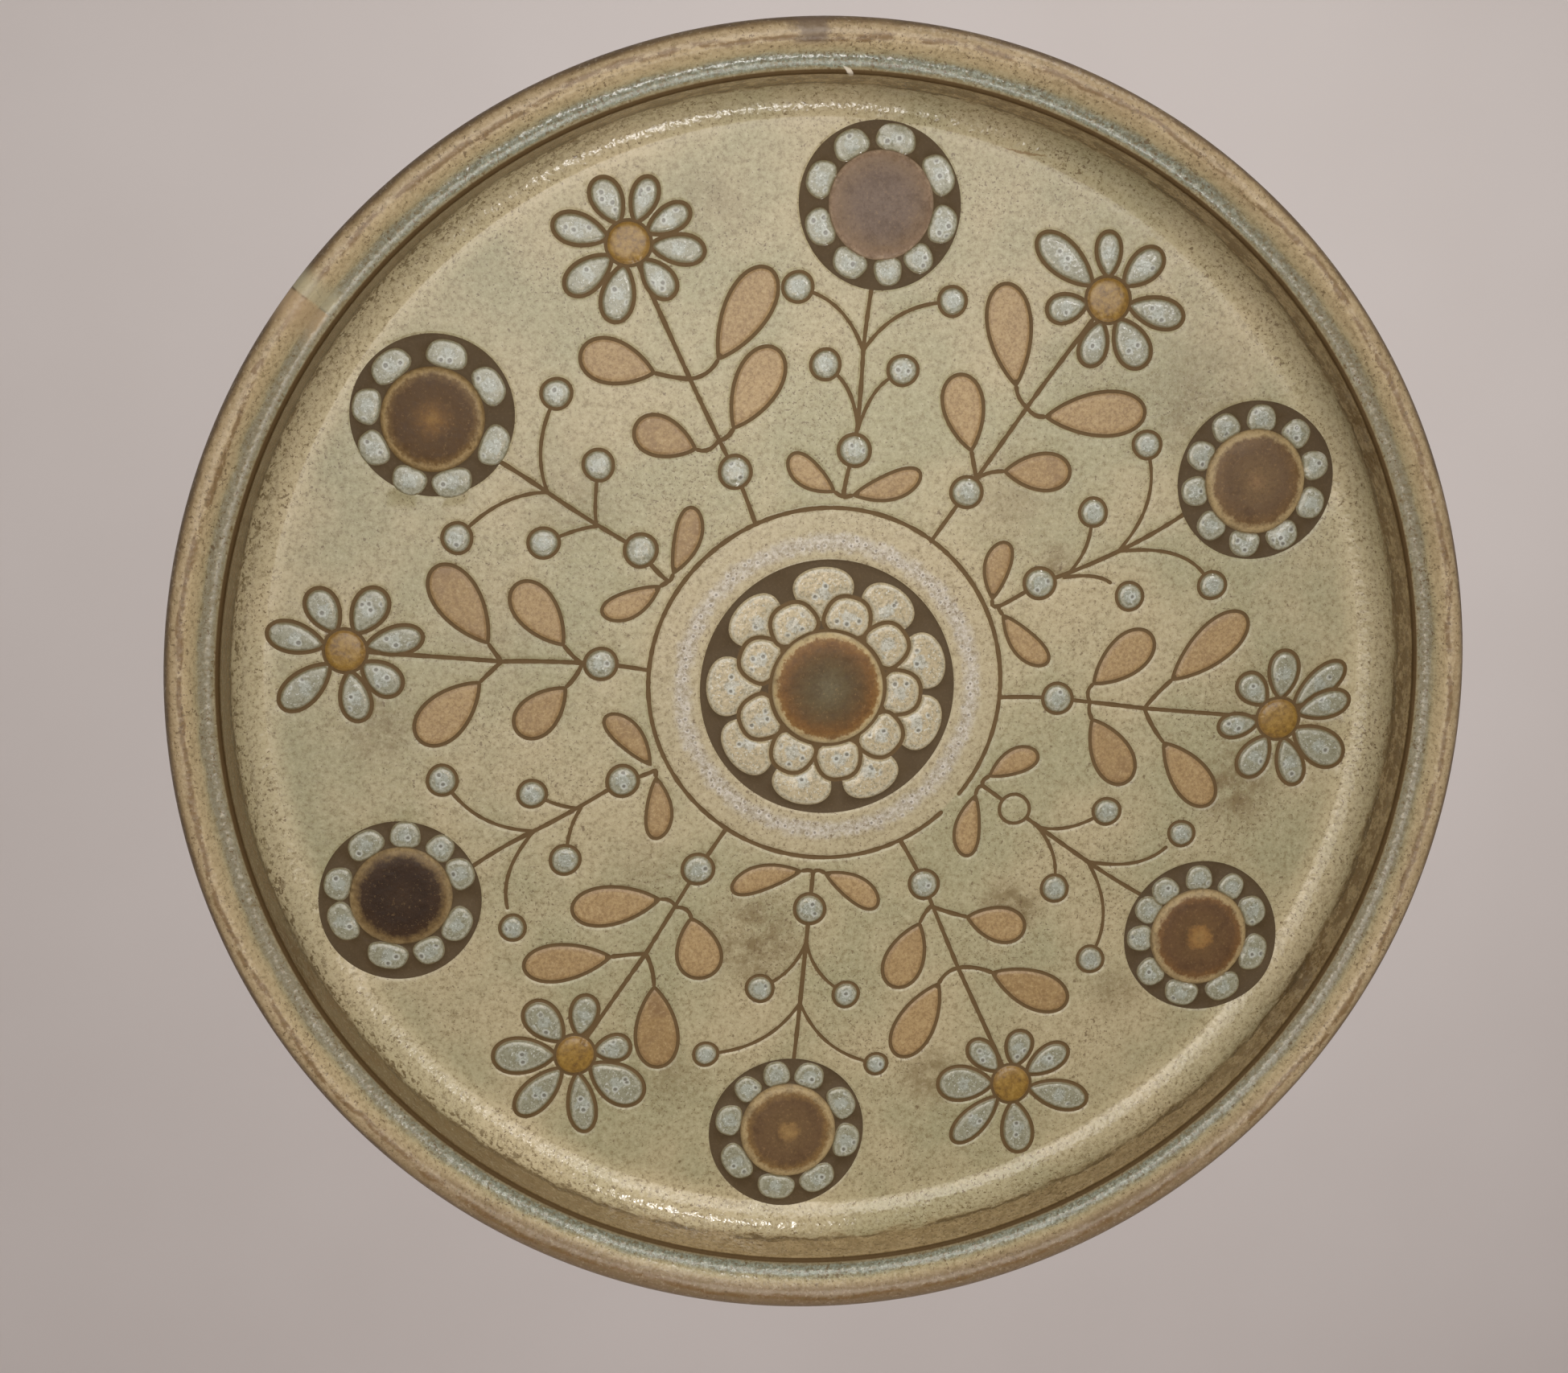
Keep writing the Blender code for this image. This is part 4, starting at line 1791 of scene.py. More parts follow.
    def surface(
        self,
        roughness: Value,
        bump: Socket,
        bump_size: float,
        shine: Value = 0.5,
        coat: float = 0.0,
    ) -> bpy.types.Material:
        """Ends the material with a glazed surface.

        Args:
            roughness: Roughness under the clear coat.
            bump: Height of the fine relief, from zero to one.
            bump_size: Size of that relief in millimetres.
            shine: Strength of the mirror reflection.
            coat: Strength of the clear coat.

        Returns:
            The material.
        """
        shader = self.add("ShaderNodeBsdfPrincipled")
        self.feed(shader.inputs["Specular IOR Level"], shine)
        self.feed(shader.inputs["Base Color"], self.colour)
        self.feed(shader.inputs["Roughness"], roughness)
        shader.inputs["Coat Weight"].default_value = coat
        shader.inputs["Coat Roughness"].default_value = 0.12
        relief = self.add("ShaderNodeBump")
        relief.inputs["Strength"].default_value = 1.0
        relief.inputs["Distance"].default_value = bump_size * MM
        self.feed(relief.inputs["Height"], bump)
        self.tree.links.new(relief.outputs["Normal"], shader.inputs["Normal"])
        output = self.add("ShaderNodeOutputMaterial")
        self.tree.links.new(shader.outputs[0], output.inputs["Surface"])
        return self.material


@dataclass(frozen=True)
class Smudge:
    """A stain of iron that bled into the ground glaze, in plate millimetres."""

    x: float
    z: float
    radius: float
    strength: float


# Where the ground glaze changes along the section, and where painted light lightens the cove.
COVE_PAINTED_LIGHT = Band(168.0, 176.0, 186.0, 190.0)
WALL_STAINS = Band(185.5, 188.5, 194.0, 200.0, 0.5)
WALL_CRUMBS = Band(178.0, 186.0, 188.5, 191.0, 0.3)
LIP = Band(198.5, 200.0, 203.0, 204.5)
LIP_LINE = Band(199.8, 200.6, 201.9, 202.6)
BLUE_GROOVE = Band(202.6, 203.4, 206.2, 208.4)
RIM_TOP = Band(203.5, 205.0, 224.0, 232.0)
OUTER_RIM = Band(208.0, 212.0, 236.0, 250.0)
NICK = Band(197.5, 198.5, 207.0, 209.0)
KISS_MARK = Band(209.0, 212.0, 226.0, 234.0)


@dataclass(frozen=True)
class Grain:
    """Fine mottling and specks of iron in the ground glaze."""

    olive: Colour = srgb(116, 100, 66)
    pale: Colour = srgb(192, 181, 152)
    iron: Colour = srgb(94, 73, 46)

    def lay(self, board: Board) -> None:
        """Breaks the glaze up.

        Args:
            board: The material's board.
        """
        mottle = board.noise(1.5, 5.0, 0.8, 2.0)
        board.cover(board.span(mottle, 0.47, 0.66, 0.0, 0.7), self.olive)
        board.cover(board.span(mottle, 0.48, 0.32, 0.0, 0.35), self.pale)
        crowd = board.noise(26.0, 3.0, 0.6, 3.0)
        density = board.span(crowd, 0.35, 0.72, 0.67, 0.60)
        fine = board.math("GREATER_THAN", board.noise(1.0, 2.0, 0.6, 4.0), density)
        board.cover(board.times(fine, 0.7), self.iron)
        coarse = board.span(board.noise(2.1, 2.0, 0.5, 14.0), 0.70, 0.74, 0.0, 0.7)
        board.cover(coarse, self.iron)


@dataclass(frozen=True)
class BlueRing:
    """The bubbly grey-blue ring that was poured between the rosette and its ring line."""

    inner_floor: Colour = srgb(168, 154, 123)
    blue: Stops = tint_stops((0.30, 124, 114, 100), (0.46, 162, 155, 143), (0.66, 198, 192, 186))
    halo: Colour = srgb(204, 198, 190)
    pit: Colour = srgb(98, 90, 76)
    ring: Band = Band(42.5, 46.0, 47.0, 50.5)

    def lay(self, board: Board) -> None:
        """Pours the ring.

        Args:
            board: The material's board.
        """
        inside = board.fading(board.away(*RING_LINE.middle), 55.5, 56.5)
        board.cover(board.times(inside, 0.7), self.inner_floor)
        stray = board.centred(board.noise(4.5, 4.0, 0.6, 6.0))
        reach = board.strayed(board.away(*ROSETTE.middle), stray, 5.0)
        ring = board.band(self.ring, 1.0, reach, reach)
        froth = board.ramp(board.noise(1.4, 4.0, 0.7, 7.0), self.blue)
        board.cover(board.times(ring, 0.72), froth)
        gap, own = board.pits(2.6, 2.0)
        chosen = board.times(ring, board.span(own, 0.45, 0.5))
        halo = board.times(board.fading(gap, 0.6, 1.0, 0.6), chosen)
        board.cover(halo, self.halo)
        hole = board.times(board.fading(gap, 0.25, 0.6, 0.8), chosen)
        board.cover(hole, self.pit)


@dataclass(frozen=True)
class WallStain:
    """The stained cove and wall: dark at the left, blotched at the right and top; painted light
    lightens the cove, most at the sides, where shade would fall.
    """

    # Painted light for the cove, not a glaze colour.
    painted_cove_light: Colour = srgb(200, 184, 150)
    tan: Colour = srgb(160, 137, 99)
    brown: Colour = srgb(108, 85, 51)
    blotch: Colour = srgb(112, 87, 52)
    seam: Colour = srgb(86, 66, 38)
    crumb: Colour = srgb(94, 75, 46)

    def lay(self, board: Board) -> None:
        """Lightens the cove with painted light, most at the left and right where shade falls, and
        stains the wall.

        Args:
            board: The material's board.
        """
        right, up = board.bearing()
        # Painted light: a pale cream laid over the cove, strongest at the left and right, to hide
        # the shade that falls there.
        cove = board.band(COVE_PAINTED_LIGHT, 0.55)
        sides = board.plus(
            board.span(right, 0.1, -0.6, 0.3, 1.0), board.span(right, 0.4, 0.8, 0.0, 0.5)
        )
        board.cover(board.times(cove, sides), self.painted_cove_light)
        left = board.span(right, -0.1, -0.7)
        stray = board.centred(board.streaks(9.0, 4.0, 9.0))
        wavy = board.strayed(board.run, stray, 9.0)
        wavy = board.minus(wavy, board.span(right, 0.2, 0.7, 0.0, 1.4))
        wall = board.mix(left, self.tan, self.brown)
        board.cover(board.span(wavy, 185.5, 189.5, 0.0, 0.85), wall)
        worn = board.span(board.streaks(6.0, 6.0, 19.0), 0.45, 0.54)
        zone = board.band(WALL_STAINS, rising=wavy)
        calm = board.minus(0.95, board.times(board.span(up, -0.45, -0.85), 0.6))
        blotch = board.times(board.times(worn, zone), calm)
        board.cover(blotch, self.blotch)
        beside = board.unsigned(board.minus(wavy, 188.6))
        patchy = board.span(board.streaks(16.0, 9.0, 29.0), 0.40, 0.52, 0.1, 0.9)
        seam = board.times(board.fading(beside, 0.3, 1.5), patchy)
        board.cover(seam, self.seam)
        crumbs = board.span(board.noise(2.0, 3.0, 0.6, 21.0), 0.54, 0.58, 0.0, 0.85)
        crumbs = board.times(crumbs, board.plus(board.times(left, 0.75), 0.25))
        crumbs = board.times(crumbs, board.band(WALL_CRUMBS))
        board.cover(crumbs, self.crumb)


@dataclass(frozen=True)
class RimBands:
    """The bands that run round the lip, the rolled rim and the back."""

    bands: Stops = tint_stops(
        (200.0, 150, 136, 104), (202.8, 132, 122, 96), (203.6, 117, 121, 106),
        (206.2, 119, 122, 107), (207.8, 156, 144, 110), (209.5, 178, 160, 124),
        (212.4, 175, 155, 119), (214.4, 166, 146, 113), (216.2, 155, 135, 102),
        (217.2, 118, 96, 66), (218.2, 80, 60, 37), (225.0, 80, 61, 39), (232.0, 122, 104, 76),
        (245.0, 158, 145, 114),
    )
    light_froth: Colour = srgb(158, 164, 150)
    dark_froth: Colour = srgb(92, 84, 62)
    dull_pool: Colour = srgb(134, 124, 101)
    blotch: Colour = srgb(128, 105, 70)
    # Painted shade for the bottom of the outer rim.
    painted_low_rim_shade: Colour = srgb(114, 92, 66)
    thread: Colour = srgb(104, 74, 34)

    def lay(self, board: Board) -> None:
        """Lays the bands over the ground, with painted shade at the bottom of the rim.

        Args:
            board: The material's board.
        """
        right, up = board.bearing()
        stray = board.centred(board.streaks(12.0, 4.0, 3.0))
        wavy = board.strayed(board.run, stray, 3.6)
        first, last = self.bands[0][0], self.bands[-1][0]
        stops = tuple(((stop - first) / (last - first), tint) for stop, tint in self.bands)
        share = board.math("DIVIDE", board.minus(wavy, first), last - first, clamp=True)
        bands = board.ramp(share, stops)
        board.cover(board.span(board.run, 201.8, 202.6), bands)
        self.lay_pool(board, wavy, board.unsigned(right))
        # Real blotches at the right; the darker blotches at the bottom of the rim are painted
        # shade.
        side = board.greater(board.span(right, -0.7, 0.2, 0.1, 0.45), board.span(up, -0.6, -0.9))
        streaks = board.span(board.streaks(20.0, 7.0, 7.0), 0.48, 0.56, 0.0, 0.6)
        outer = board.band(OUTER_RIM)
        blotch = board.times(board.times(streaks, side), outer)
        board.cover(blotch, self.blotch)
        # Painted shade: the outer rim darkens towards the bottom.
        low = board.times(board.span(up, -0.6, -0.9, 0.0, 0.88), outer)
        board.cover(low, self.painted_low_rim_shade)
        wander = board.centred(board.streaks(46.0, 60.0, 13.0))
        both = board.plus(board.times(wander, 9.0), board.times(stray, 3.0))
        thread = board.unsigned(board.minus(board.plus(board.run, both), 213.2))
        broken = board.span(board.streaks(9.0, 5.0, 5.0), 0.38, 0.48, 0.0, 0.95)
        thread = board.times(board.fading(thread, 0.3, 1.3, 0.85), broken)
        board.cover(thread, self.thread)

    def lay_pool(self, board: Board, wavy: Socket, aside: Socket) -> None:
        """Froths the blue glaze that pooled in the groove, and dulls it at the sides.

        Args:
            board: The material's board.
            wavy: Distance along the section with its stray.
            aside: How far a point lies to either side, from 0 to 1.
        """
        pool = board.band(BLUE_GROOVE, falling=wavy)
        froth = board.noise(1.1, 3.0, 0.7, 11.0)
        light = board.times(board.span(froth, 0.52, 0.62, 0.0, 0.6), pool)
        board.cover(light, self.light_froth)
        dark = board.times(board.span(froth, 0.46, 0.38, 0.0, 0.7), pool)
        board.cover(dark, self.dark_froth)
        dull = board.times(board.span(aside, 0.5, 0.9, 0.0, 0.75), pool)
        board.cover(dull, self.dull_pool)


@dataclass(frozen=True)
class Slant:
    """Where a small mark lies on the plate and which way it runs."""

    x: float
    z: float
    turn: Point

    def lines(self, board: Board) -> tuple[Socket, Socket]:
        """Measures how far a point lies along the mark and across it.

        Args:
            board: The material's board.

        Returns:
            Distance along the mark and across it, in millimetres.
        """
        x, _, z = board.parts(board.place)
        beside, over = board.minus(x, self.x), board.minus(z, self.z)
        level, steep = self.turn
        along = board.plus(board.times(beside, level), board.times(over, -steep))
        across = board.plus(board.times(beside, steep), board.times(over, level))
        return along, across


@dataclass(frozen=True)
class Marks:
    """The dark lip line, and the marks of wear and firing on the rim and cove."""

    lip_line: Colour = srgb(74, 56, 32)
    kiss: Colour = srgb(94, 77, 62)
    seam_shade: Colour = srgb(166, 142, 108)
    seam_light: Colour = srgb(168, 160, 130)
    nick: Colour = srgb(200, 190, 172)
    scratch: Colour = srgb(122, 96, 60)
    seam_angle: float = 52.0
    nick_place: Slant = Slant(3.0, 184.9, (0.77, 0.64))
    scratch_place: Slant = Slant(60.5, 165.3, (0.98, 0.19))

    def lay(self, board: Board) -> None:
        """Adds the marks.

        Args:
            board: The material's board.
        """
        stray = board.centred(board.noise(3.0, 4.0, 0.6, 31.0))
        lip = board.band(LIP_LINE)
        board.cover(board.times(lip, 0.95), self.lip_line)
        kiss = board.strayed(board.away(-8.0, 196.0), stray, 11.0)
        kiss = board.times(board.fading(kiss, 3.0, 8.0, 0.75), board.band(KISS_MARK))
        board.cover(kiss, self.kiss)
        self.add_seam(board)
        along, across = self.nick_place.lines(board)
        reach = board.plus(board.unsigned(board.math("DIVIDE", along, 3.2)), board.unsigned(across))
        nick = board.times(board.fading(reach, 0.55, 0.95, 0.9), board.band(NICK))
        board.cover(nick, self.nick)
        along, across = self.scratch_place.lines(board)
        across = board.unsigned(board.strayed(across, stray, 2.2))
        reach = board.fading(board.unsigned(along), 5.0, 7.5)
        reach = board.times(reach, board.fading(board.run, 180.0, 184.0))
        scratch = board.times(board.fading(across, 0.15, 0.5, 0.75), reach)
        board.cover(scratch, self.scratch)

    def add_seam(self, board: Board) -> None:
        """Adds the seam at the upper left, where two pours of the rim glaze meet.

        Args:
            board: The material's board.
        """
        rim = board.band(RIM_TOP)
        turn = board.math("ARCTAN2", *board.bearing())
        past = board.times(board.plus(turn, math.radians(self.seam_angle)), -WALL_RADIUS)
        shade = board.times(board.span(past, 0.0, 0.8), board.fading(past, 3.0, 15.0, 0.7))
        board.cover(board.times(shade, rim), self.seam_shade)
        light = board.times(board.span(past, -9.0, -3.0), board.fading(past, -0.4, 0.2, 0.65))
        board.cover(board.times(light, rim), self.seam_light)


@dataclass(frozen=True)
class GroundFinish:
    """The satin ground glaze that runs over the whole dish, banded along its section."""

    cream: Colour = srgb(167, 154, 121)
    sage: Colour = srgb(150, 144, 111)
    smudges: tuple[Smudge, ...] = ()
    grain: Grain = Grain()
    blue_ring: BlueRing = BlueRing()
    wall: WallStain = WallStain()
    rim: RimBands = RimBands()
    marks: Marks = Marks()

    def build(self) -> bpy.types.Material:
        """Makes the material.

        Returns:
            The material.
        """
        board = Board(Coat.GROUND.value)
        broad = board.span(board.noise(52.0, 4.0, 0.55, 1.0), 0.36, 0.64)
        board.colour = board.mix(broad, self.cream, self.sage)
        self.blue_ring.lay(board)
        self.stain(board)
        for layer in (self.wall, self.rim, self.grain, self.marks):
            layer.lay(board)
        lip = board.band(LIP)
        gloss = board.minus(0.36, board.span(board.run, 171.0, 177.0, 0.0, 0.16))
        gloss = board.plus(gloss, board.span(board.run, 207.0, 209.0, 0.0, 0.2))
        rough = board.greater(gloss, board.times(lip, 0.7))
        shine = board.minus(0.5, board.times(lip, 0.42))
        return board.surface(rough, self.relief(board), 0.09, shine)

    def stain(self, board: Board) -> None:
        """Lets iron bleed into the ground where the photo shows it.

        Args:
            board: The material's board.
        """
        cloud = board.span(board.noise(7.0, 5.0, 0.65, 8.0), 0.28, 0.66)
        total: Value = 0.0
        for smudge in self.smudges:
            far = board.away(smudge.x, smudge.z)
            total = board.plus(board.fading(far, 0.0, smudge.radius, smudge.strength), total)
        share = board.math("MULTIPLY", total, cloud, clamp=True)
        board.cover(share, self.grain.olive)

    @staticmethod
    def relief(board: Board) -> Socket:
        """Makes the fine relief, which is stronger in the cove and strongest at the bottom.

        Args:
            board: The material's board.

        Returns:
            Height of the relief.
        """
        bump = board.plus(board.noise(2.0, 1.5, 0.5, 5.0), board.noise(7.0, 1.0, 0.5, 15.0))
        strong = board.span(board.bearing()[1], 0.2, -0.7, 2.7, 3.4)
        strong = board.times(board.span(board.run, 173.0, 178.0), strong)
        return board.times(bump, board.greater(strong, 1.0))


SMUDGES = (
    Smudge(-24.0, -83.0, 22.0, 1.5),
    Smudge(74.0, 39.0, 9.0, 1.1),
    Smudge(62.0, -74.0, 14.0, 1.3),
    Smudge(36.0, -132.0, 16.0, 1.0),
    Smudge(98.0, -104.0, 12.0, 0.9),
    Smudge(135.0, -36.0, 18.0, 1.3),
    Smudge(-140.0, -10.0, 18.0, 0.9),
    Smudge(150.0, -12.0, 32.0, 0.55),
    Smudge(118.0, 92.0, 26.0, 0.6),
    Smudge(60.0, 60.0, 26.0, 0.45),
    Smudge(-36.0, 148.0, 18.0, 0.5),
    Smudge(-80.0, 62.0, 26.0, 0.45),
    Smudge(-104.0, 20.0, 22.0, 0.45),
    Smudge(-52.0, -128.0, 16.0, 0.6),
    Smudge(-58.0, -60.0, 20.0, 0.4),
)


@dataclass(frozen=True)
class DiscFinish:
    """A thick glaze that gathers in rings: middle, body, ragged rim."""

    coat: Coat
    centre: Point
    radius: float
    stops: Stops
    dark_cloud: Colour = srgb(62, 44, 30)
    dark_grain: Colour = srgb(70, 50, 33)
    light_grain: Colour = srgb(174, 142, 98)
    edge: Colour = srgb(92, 70, 44)
    raggedness: float = 4.42
    shine: float = 0.16

    def build(self) -> bpy.types.Material:
        """Makes the material.

        Returns:
            The material.
        """
        board = Board(self.coat.value)
        stray = board.centred(board.noise(1.9, 4.0, 0.7, 1.0))
        reach = board.strayed(board.away(*self.centre), stray, self.raggedness)
        board.colour = board.ramp(board.math("DIVIDE", reach, self.radius), self.stops)
        cloud = board.noise(5.0, 4.0, 0.65, 4.0)
        board.cover(board.span(cloud, 0.45, 0.7, 0.0, 0.35), self.dark_cloud)
        grain = board.noise(0.9, 4.0, 0.7, 2.0)
        board.cover(board.span(grain, 0.48, 0.72, 0.0, 0.4), self.dark_grain)
        board.cover(board.span(grain, 0.44, 0.28, 0.0, 0.22), self.light_grain)
        thin = board.fading(board.attribute("edge"), 0.0, 0.5, 0.5)
        board.cover(thin, self.edge)
        bump = board.noise(2.4, 2.0, 0.5, 3.0)
        return board.surface(0.36, bump, 0.12, self.shine)


# The pale rim that three of the brown discs share.
PALE_RIM = ((0.91, 162, 142, 104), (1.0, 148, 128, 92))

DISC_STOPS = {
    Coat.LILAC_DISC: tint_stops(
        (0.0, 110, 94, 82), (0.5, 108, 91, 78), (0.80, 116, 96, 76), (0.93, 130, 109, 90),
        (1.0, 152, 132, 110),
    ),
    Coat.BROWN_DISC: tint_stops(
        (0.0, 126, 99, 69), (0.20, 108, 86, 58), (0.6, 96, 75, 52), (0.82, 108, 84, 55),
        *PALE_RIM,
    ),
    Coat.RICH_DISC: tint_stops(
        (0.0, 142, 111, 67), (0.2, 134, 100, 58), (0.30, 100, 76, 49), (0.7, 94, 70, 47),
        (0.83, 112, 82, 50),
        *PALE_RIM,
    ),
    Coat.UMBER_DISC: tint_stops(
        (0.0, 142, 115, 74), (0.14, 132, 104, 66), (0.26, 102, 80, 54), (0.68, 96, 74, 51),
        (0.82, 120, 94, 58),
        *PALE_RIM,
    ),
    Coat.BLACK_DISC: tint_stops(
        (0.0, 56, 41, 28), (0.5, 46, 32, 22), (0.76, 57, 41, 27), (0.88, 115, 94, 61),
        (1.0, 148, 128, 92),
    ),
    Coat.OLIVE_DISC: tint_stops(
        (0.0, 128, 96, 48), (0.15, 108, 77, 35), (0.45, 78, 54, 22), (0.72, 76, 52, 20),
        (0.84, 102, 78, 44), (0.91, 148, 126, 88), (1.0, 120, 98, 62),
    ),
    Coat.ROSETTE_DISC: tint_stops(
        (0.0, 98, 90, 68), (0.35, 88, 75, 50), (0.62, 92, 70, 42), (0.80, 110, 78, 43),
        (0.885, 126, 94, 54), (0.925, 168, 148, 108), (1.0, 172, 156, 120),
    ),
}


@dataclass(frozen=True)
class BareFinish:
    """Bare dark clay in the lines and fields, where the glaze was kept off."""

    line: tuple[Colour, Colour] = (srgb(84, 64, 35), srgb(99, 77, 45))
    field: tuple[Colour, Colour] = (srgb(69, 54, 33), srgb(82, 66, 42))
    grain: Colour = srgb(106, 86, 60)

    def build(self) -> bpy.types.Material:
        """Makes the material.

        Returns:
            The material.
        """
        board = Board(Coat.BARE.value)
        cloud = board.noise(9.0, 4.0, 0.6, 1.0)
        line = board.mix(cloud, *self.line)
        field = board.mix(cloud, *self.field)
        board.colour = board.mix(board.span(board.attribute("tone"), 1.2, 1.8), line, field)
        grain = board.noise(0.8, 4.0, 0.7, 2.0)
        board.cover(board.span(grain, 0.5, 0.75, 0.0, 0.4), self.grain)
        return board.surface(0.7, grain, 0.08, 0.3)


@dataclass(frozen=True)
class LeafFinish:
    """Thin pinkish tan glaze on the leaves, browner where it is thin."""

    light: Colour = srgb(158, 132, 90)
    deep: Colour = srgb(142, 115, 72)
    worn: Colour = srgb(118, 90, 57)
    edge: Colour = srgb(132, 106, 72)
    dark_grain: Colour = srgb(116, 87, 48)
    light_grain: Colour = srgb(180, 158, 116)

    def build(self) -> bpy.types.Material:
        """Makes the material.

        Returns:
            The material.
        """
        board = Board(Coat.LEAF.value)
        tone = board.attribute("tone")
        board.colour = board.mix(tone, self.light, self.deep)
        cloud = board.span(board.noise(6.5, 5.0, 0.65, 1.0), 0.44, 0.70)
        worn = board.times(cloud, board.span(tone, 0.3, 1.0, 0.15, 0.8))
        board.cover(worn, self.worn)
        thin = board.fading(board.attribute("edge"), 0.0, 1.3, 0.5)
        board.cover(thin, self.edge)
        grain = board.noise(1.1, 5.0, 0.75, 2.0)
        board.cover(board.span(grain, 0.46, 0.62, 0.0, 0.6), self.dark_grain)
        board.cover(board.span(grain, 0.46, 0.34, 0.0, 0.45), self.light_grain)
        return board.surface(0.42, board.noise(2.2, 2.0, 0.5, 4.0), 0.08)


@dataclass(frozen=True)
class PaleFinish:
    """Milky glaze on beads, berries and petals, with a pricked blue-white heart and painted white
    glints.
    """

    coat: Coat
    rim: Colour
    body: Colour
    heart: Colour
    heart_radius: float
    bead: Colour = srgb(176, 174, 158)
    mottle: Colour = srgb(106, 101, 80)
    # Painted highlight colour of the glints.
    painted_glint: Colour = srgb(200, 202, 194)
    halo: Colour = srgb(184, 186, 178)
    pit: Colour = srgb(84, 79, 66)

    def build(self) -> bpy.types.Material:
        """Makes the material.

        Returns:
            The material.
        """
        board = Board(self.coat.value)
        edge, middle = board.attribute("edge"), board.attribute("heart")
        stray = board.centred(board.noise(1.9, 5.0, 0.7, 1.0))
        depth = board.strayed(edge, stray, 1.6)
        board.colour = board.mix(board.span(depth, 0.0, 0.8), self.rim, self.body)
        bead = board.times(board.span(depth, 0.3, 0.8), board.fading(depth, 1.1, 1.9, 0.4))
        board.cover(bead, self.bead)
        near = board.strayed(middle, stray, 4.5)
        bloom = board.fading(near, 0.7 * self.heart_radius, 1.2 * self.heart_radius, 0.8)
        board.cover(bloom, self.heart)
        mottle = board.noise(1.0, 5.0, 0.8, 5.0)
        board.cover(board.span(mottle, 0.46, 0.62, 0.0, 0.65), self.mottle)
        inner = board.span(edge, 0.8, 1.8)
        # Painted highlight: small white specks stand in for glints on the glaze.
        painted_glint = board.span(board.noise(0.8, 3.0, 0.7, 2.0), 0.58, 0.64, 0.0, 0.6)
        board.cover(board.times(painted_glint, inner), self.painted_glint)
        core = board.times(inner, board.fading(middle, 4.0, 5.5))
        gap, own = board.pits(3.8, 1.0)
        gap = board.strayed(gap, stray, 1.1)
        chosen = board.times(board.span(own, 0.5, 0.54), core)
        halo = board.times(board.fading(gap, 0.9, 1.5, 0.6), chosen)
        board.cover(halo, self.halo)
        holes = board.times(board.fading(gap, 0.35, 0.85, 0.8), chosen)
        board.cover(holes, self.pit)
        bump = board.minus(board.noise(1.8, 1.5, 0.5, 4.0), board.times(holes, 0.8))
        return board.surface(0.18, bump, 0.11, 0.45, 0.05)


@dataclass(frozen=True)
class ButtonFinish:
    """Orange-tan glaze on the daisies' buttons."""

    stops: Stops = tint_stops((0.34, 98, 70, 26), (0.5, 131, 100, 38), (0.66, 150, 120, 56))
    edge: Colour = srgb(128, 98, 58)

    def build(self) -> bpy.types.Material:
        """Makes the material.

        Returns:
            The material.
        """
        board = Board(Coat.BUTTON.value)
        board.colour = board.ramp(board.noise(2.0, 5.0, 0.75, 1.0), self.stops)
        thin = board.fading(board.attribute("edge"), 0.0, 1.2, 0.5)
        board.cover(thin, self.edge)
        return board.surface(0.34, board.noise(2.0, 2.0, 0.5, 3.0), 0.12)


def disc_places() -> dict[Coat, tuple[Point, float]]:
    """Middle and radius of each disc on the plate, by its coat.

    Returns:
        The discs.
    """
    places = {Coat.ROSETTE_DISC: (ROSETTE.middle, ROSETTE.disc_radius)}
    for spray in MEDALLION_SPRAYS:
        disc = spray.disc
        middle = Upright(spray.clock_angle).place(disc.across, disc.outward)
        places[spray.coat] = (middle, disc.radius)
    return places


def all_materials() -> list[bpy.types.Material]:
    """Makes the material of each coat, in the order of the coats.

    Returns:
        The materials.
    """
    finishes = {
        Coat.GROUND: GroundFinish(smudges=SMUDGES),
        Coat.BARE: BareFinish(),
        Coat.LEAF: LeafFinish(),
        Coat.PALE: PaleFinish(
            Coat.PALE, srgb(122, 112, 84), srgb(138, 136, 115), srgb(156, 160, 150), 2.4
        ),
        Coat.CREAM: PaleFinish(
            Coat.CREAM, srgb(158, 144, 112), srgb(172, 158, 128), srgb(172, 172, 162), 2.6
        ),
        Coat.BUTTON: ButtonFinish(),
    }
    for coat, (middle, radius) in disc_places().items():
        finishes[coat] = DiscFinish(coat, middle, radius, DISC_STOPS[coat])
    return [finishes[coat].build() for coat in Coat]


@dataclass(frozen=True)
class Lamp:
    """A lamp of the studio: where it stands, what it faces, its size, power and colour."""

    name: str
    place: Triple
    power: float
    size: tuple[float, float] = (0.0, 0.0)
    radius: float = 0.0
    aim: Triple = (0.0, -0.02, PLATE_MIDDLE)
    colour: Triple = (1.0, 0.98, 0.95)

    def build(self) -> None:
        """Adds the lamp: an area if it has a size, else a narrow soft beam for one glint."""
        line = Vector(self.aim) - Vector(self.place)
        if self.radius:
            lamp = bpy.data.lights.new(self.name, "SPOT")
            lamp.shadow_soft_size = self.radius
            lamp.spot_size = 2.0 * math.atan(BEAM_RADIUS / line.length)
            lamp.spot_blend = 1.0
        else:
            lamp = bpy.data.lights.new(self.name, "AREA")
            lamp.shape = "RECTANGLE"
            lamp.size, lamp.size_y = self.size
        lamp.energy = self.power
        lamp.color = self.colour
        light = bpy.data.objects.new(self.name, lamp)
        light.location = self.place
        light.rotation_mode = "QUATERNION"
        light.rotation_quaternion = line.to_track_quat("-Z", "Y")
        bpy.context.scene.collection.objects.link(light)


BEAM_RADIUS = 0.17

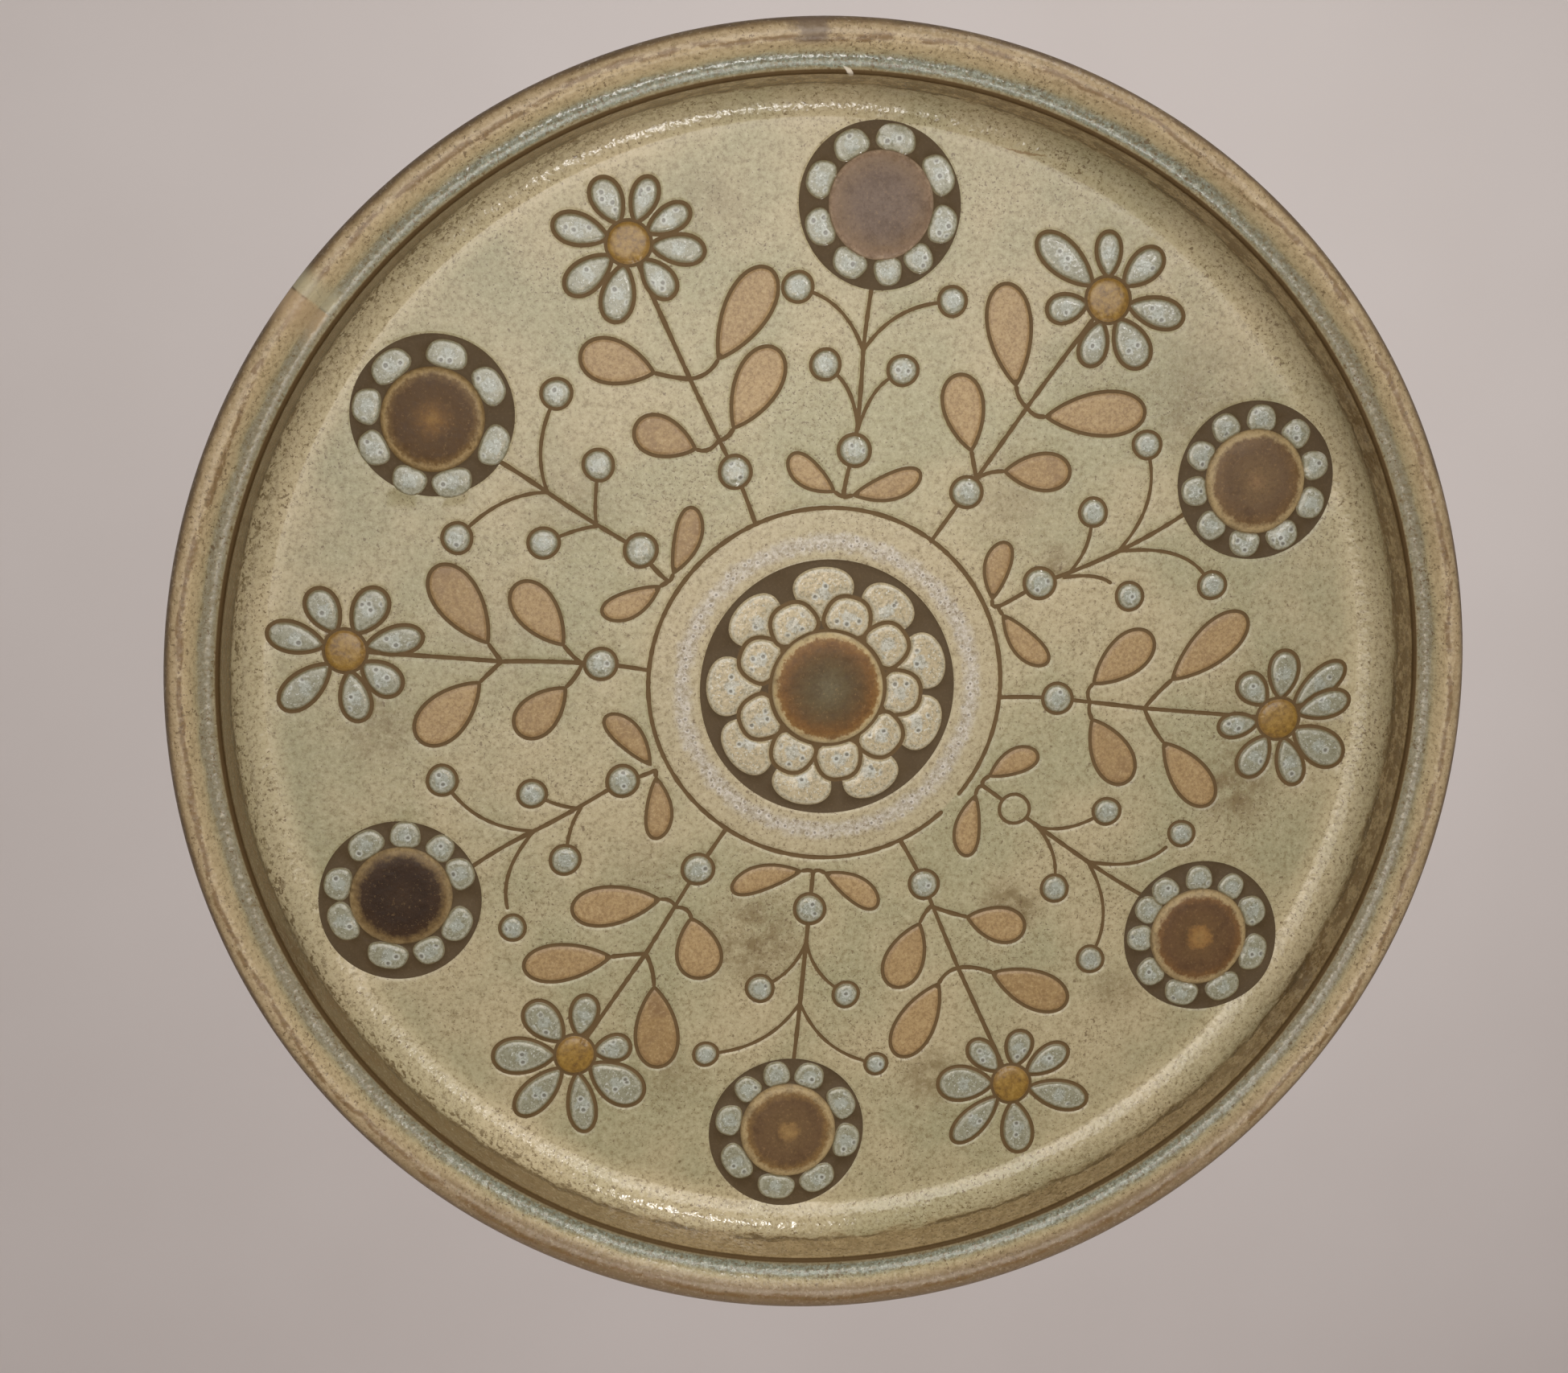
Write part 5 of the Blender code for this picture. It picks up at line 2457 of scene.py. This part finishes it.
# Broad soft lights, a window and a warm lamp that the glaze mirrors, glints, and the backdrop's.
LAMPS = (
    Lamp("key", (0.3, -2.1, 0.5), 17.8, (1.5, 1.5)),
    Lamp("fill", (-0.5, -2.0, 0.2), 14.6, (1.5, 1.5), colour=(1.0, 0.97, 0.93)),
    Lamp("window", (0.50, -1.4, 0.24), 1.2, (0.22, 0.07)),
    Lamp("warm_lamp", (0.04, -1.2, -0.18), 0.4, (0.16, 0.16), colour=(1.0, 0.74, 0.46)),
    Lamp("upper_glint", (0.34, -1.4, -1.35), 15.0, radius=0.08, aim=(-0.02, -0.02, 0.048)),
    Lamp("left_glint", (0.60, -1.4, -1.55), 22.0, radius=0.075, aim=(-0.04, -0.02, 0.046)),
    Lamp("lower_glint", (0.39, -0.33, 0.76), 16.0, radius=0.072, aim=(-0.045, -0.02, -0.302)),
    Lamp("backdrop_light", (0.5, 0.5, 0.1), 12.5, (2.4, 2.4), aim=(0.2, 1.9, -0.25)),
)


@dataclass
class Studio:
    """Camera, soft lights and a plain pale surround."""

    floor_height: float = -1.8
    backdrop: float = 1.9
    surround_size: float = 9.0
    lamps: tuple[Lamp, ...] = LAMPS
    room_colour: Colour = (0.86, 0.82, 0.80, 1.0)
    room_strength: float = 0.42
    lens: float = 41.48
    film_width: float = 36.0
    camera_place: Triple = (-0.0707, -0.5780, -0.0297)
    camera_pitch: float = -9.71
    camera_turn: float = -5.78

    def build(self) -> None:
        """Sets up the whole studio."""
        self.surround()
        for lamp in self.lamps:
            lamp.build()
        self.room()
        self.camera()

    def surround(self) -> None:
        """Adds a pale floor and a pale backdrop well behind the plate."""
        board = Board("surround")
        cloud = board.noise(420.0, 2.0, 0.5, 1.0)
        board.colour = board.mix(cloud, srgb(206, 198, 195), srgb(216, 209, 207))
        material = board.surface(0.9, cloud, 0.5)
        places = {
            "stage_floor": ((0.0, 0.0, self.floor_height), (0.0, 0.0, 0.0)),
            "stage_backdrop": ((0.0, self.backdrop, 0.0), (math.pi / 2, 0.0, 0.0)),
        }
        for name, (place, turn) in places.items():
            bpy.ops.mesh.primitive_plane_add(
                size=self.surround_size, location=place, rotation=turn
            )
            stage = bpy.context.object
            stage.name = name
            stage.data.materials.append(material)

    def room(self) -> None:
        """Adds the even light of the room."""
        world = bpy.data.worlds.new("soft_room")
        world.use_nodes = True
        back = world.node_tree.nodes["Background"]
        back.inputs["Color"].default_value = self.room_colour
        back.inputs["Strength"].default_value = self.room_strength
        bpy.context.scene.world = world

    def camera(self) -> None:
        """Adds the camera that sees the plate as the photo does."""
        lens = bpy.data.cameras.new("camera")
        lens.lens = self.lens
        lens.sensor_width = self.film_width
        camera = bpy.data.objects.new("camera", lens)
        camera.location = self.camera_place
        pitch, turn = math.radians(90.0 + self.camera_pitch), math.radians(self.camera_turn)
        camera.rotation_euler = (pitch, 0.0, turn)
        bpy.context.scene.collection.objects.link(camera)
        bpy.context.scene.camera = camera
        bpy.context.scene.view_settings.view_transform = "Standard"


def main() -> None:
    """Builds the plate and its studio."""
    logging.basicConfig(level=logging.INFO, format="%(message)s")
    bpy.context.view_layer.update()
    plate = Plate().build(all_materials())
    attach(plate, "root")
    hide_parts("plate")
    Studio().build()


if __name__ == "__main__":
    main()
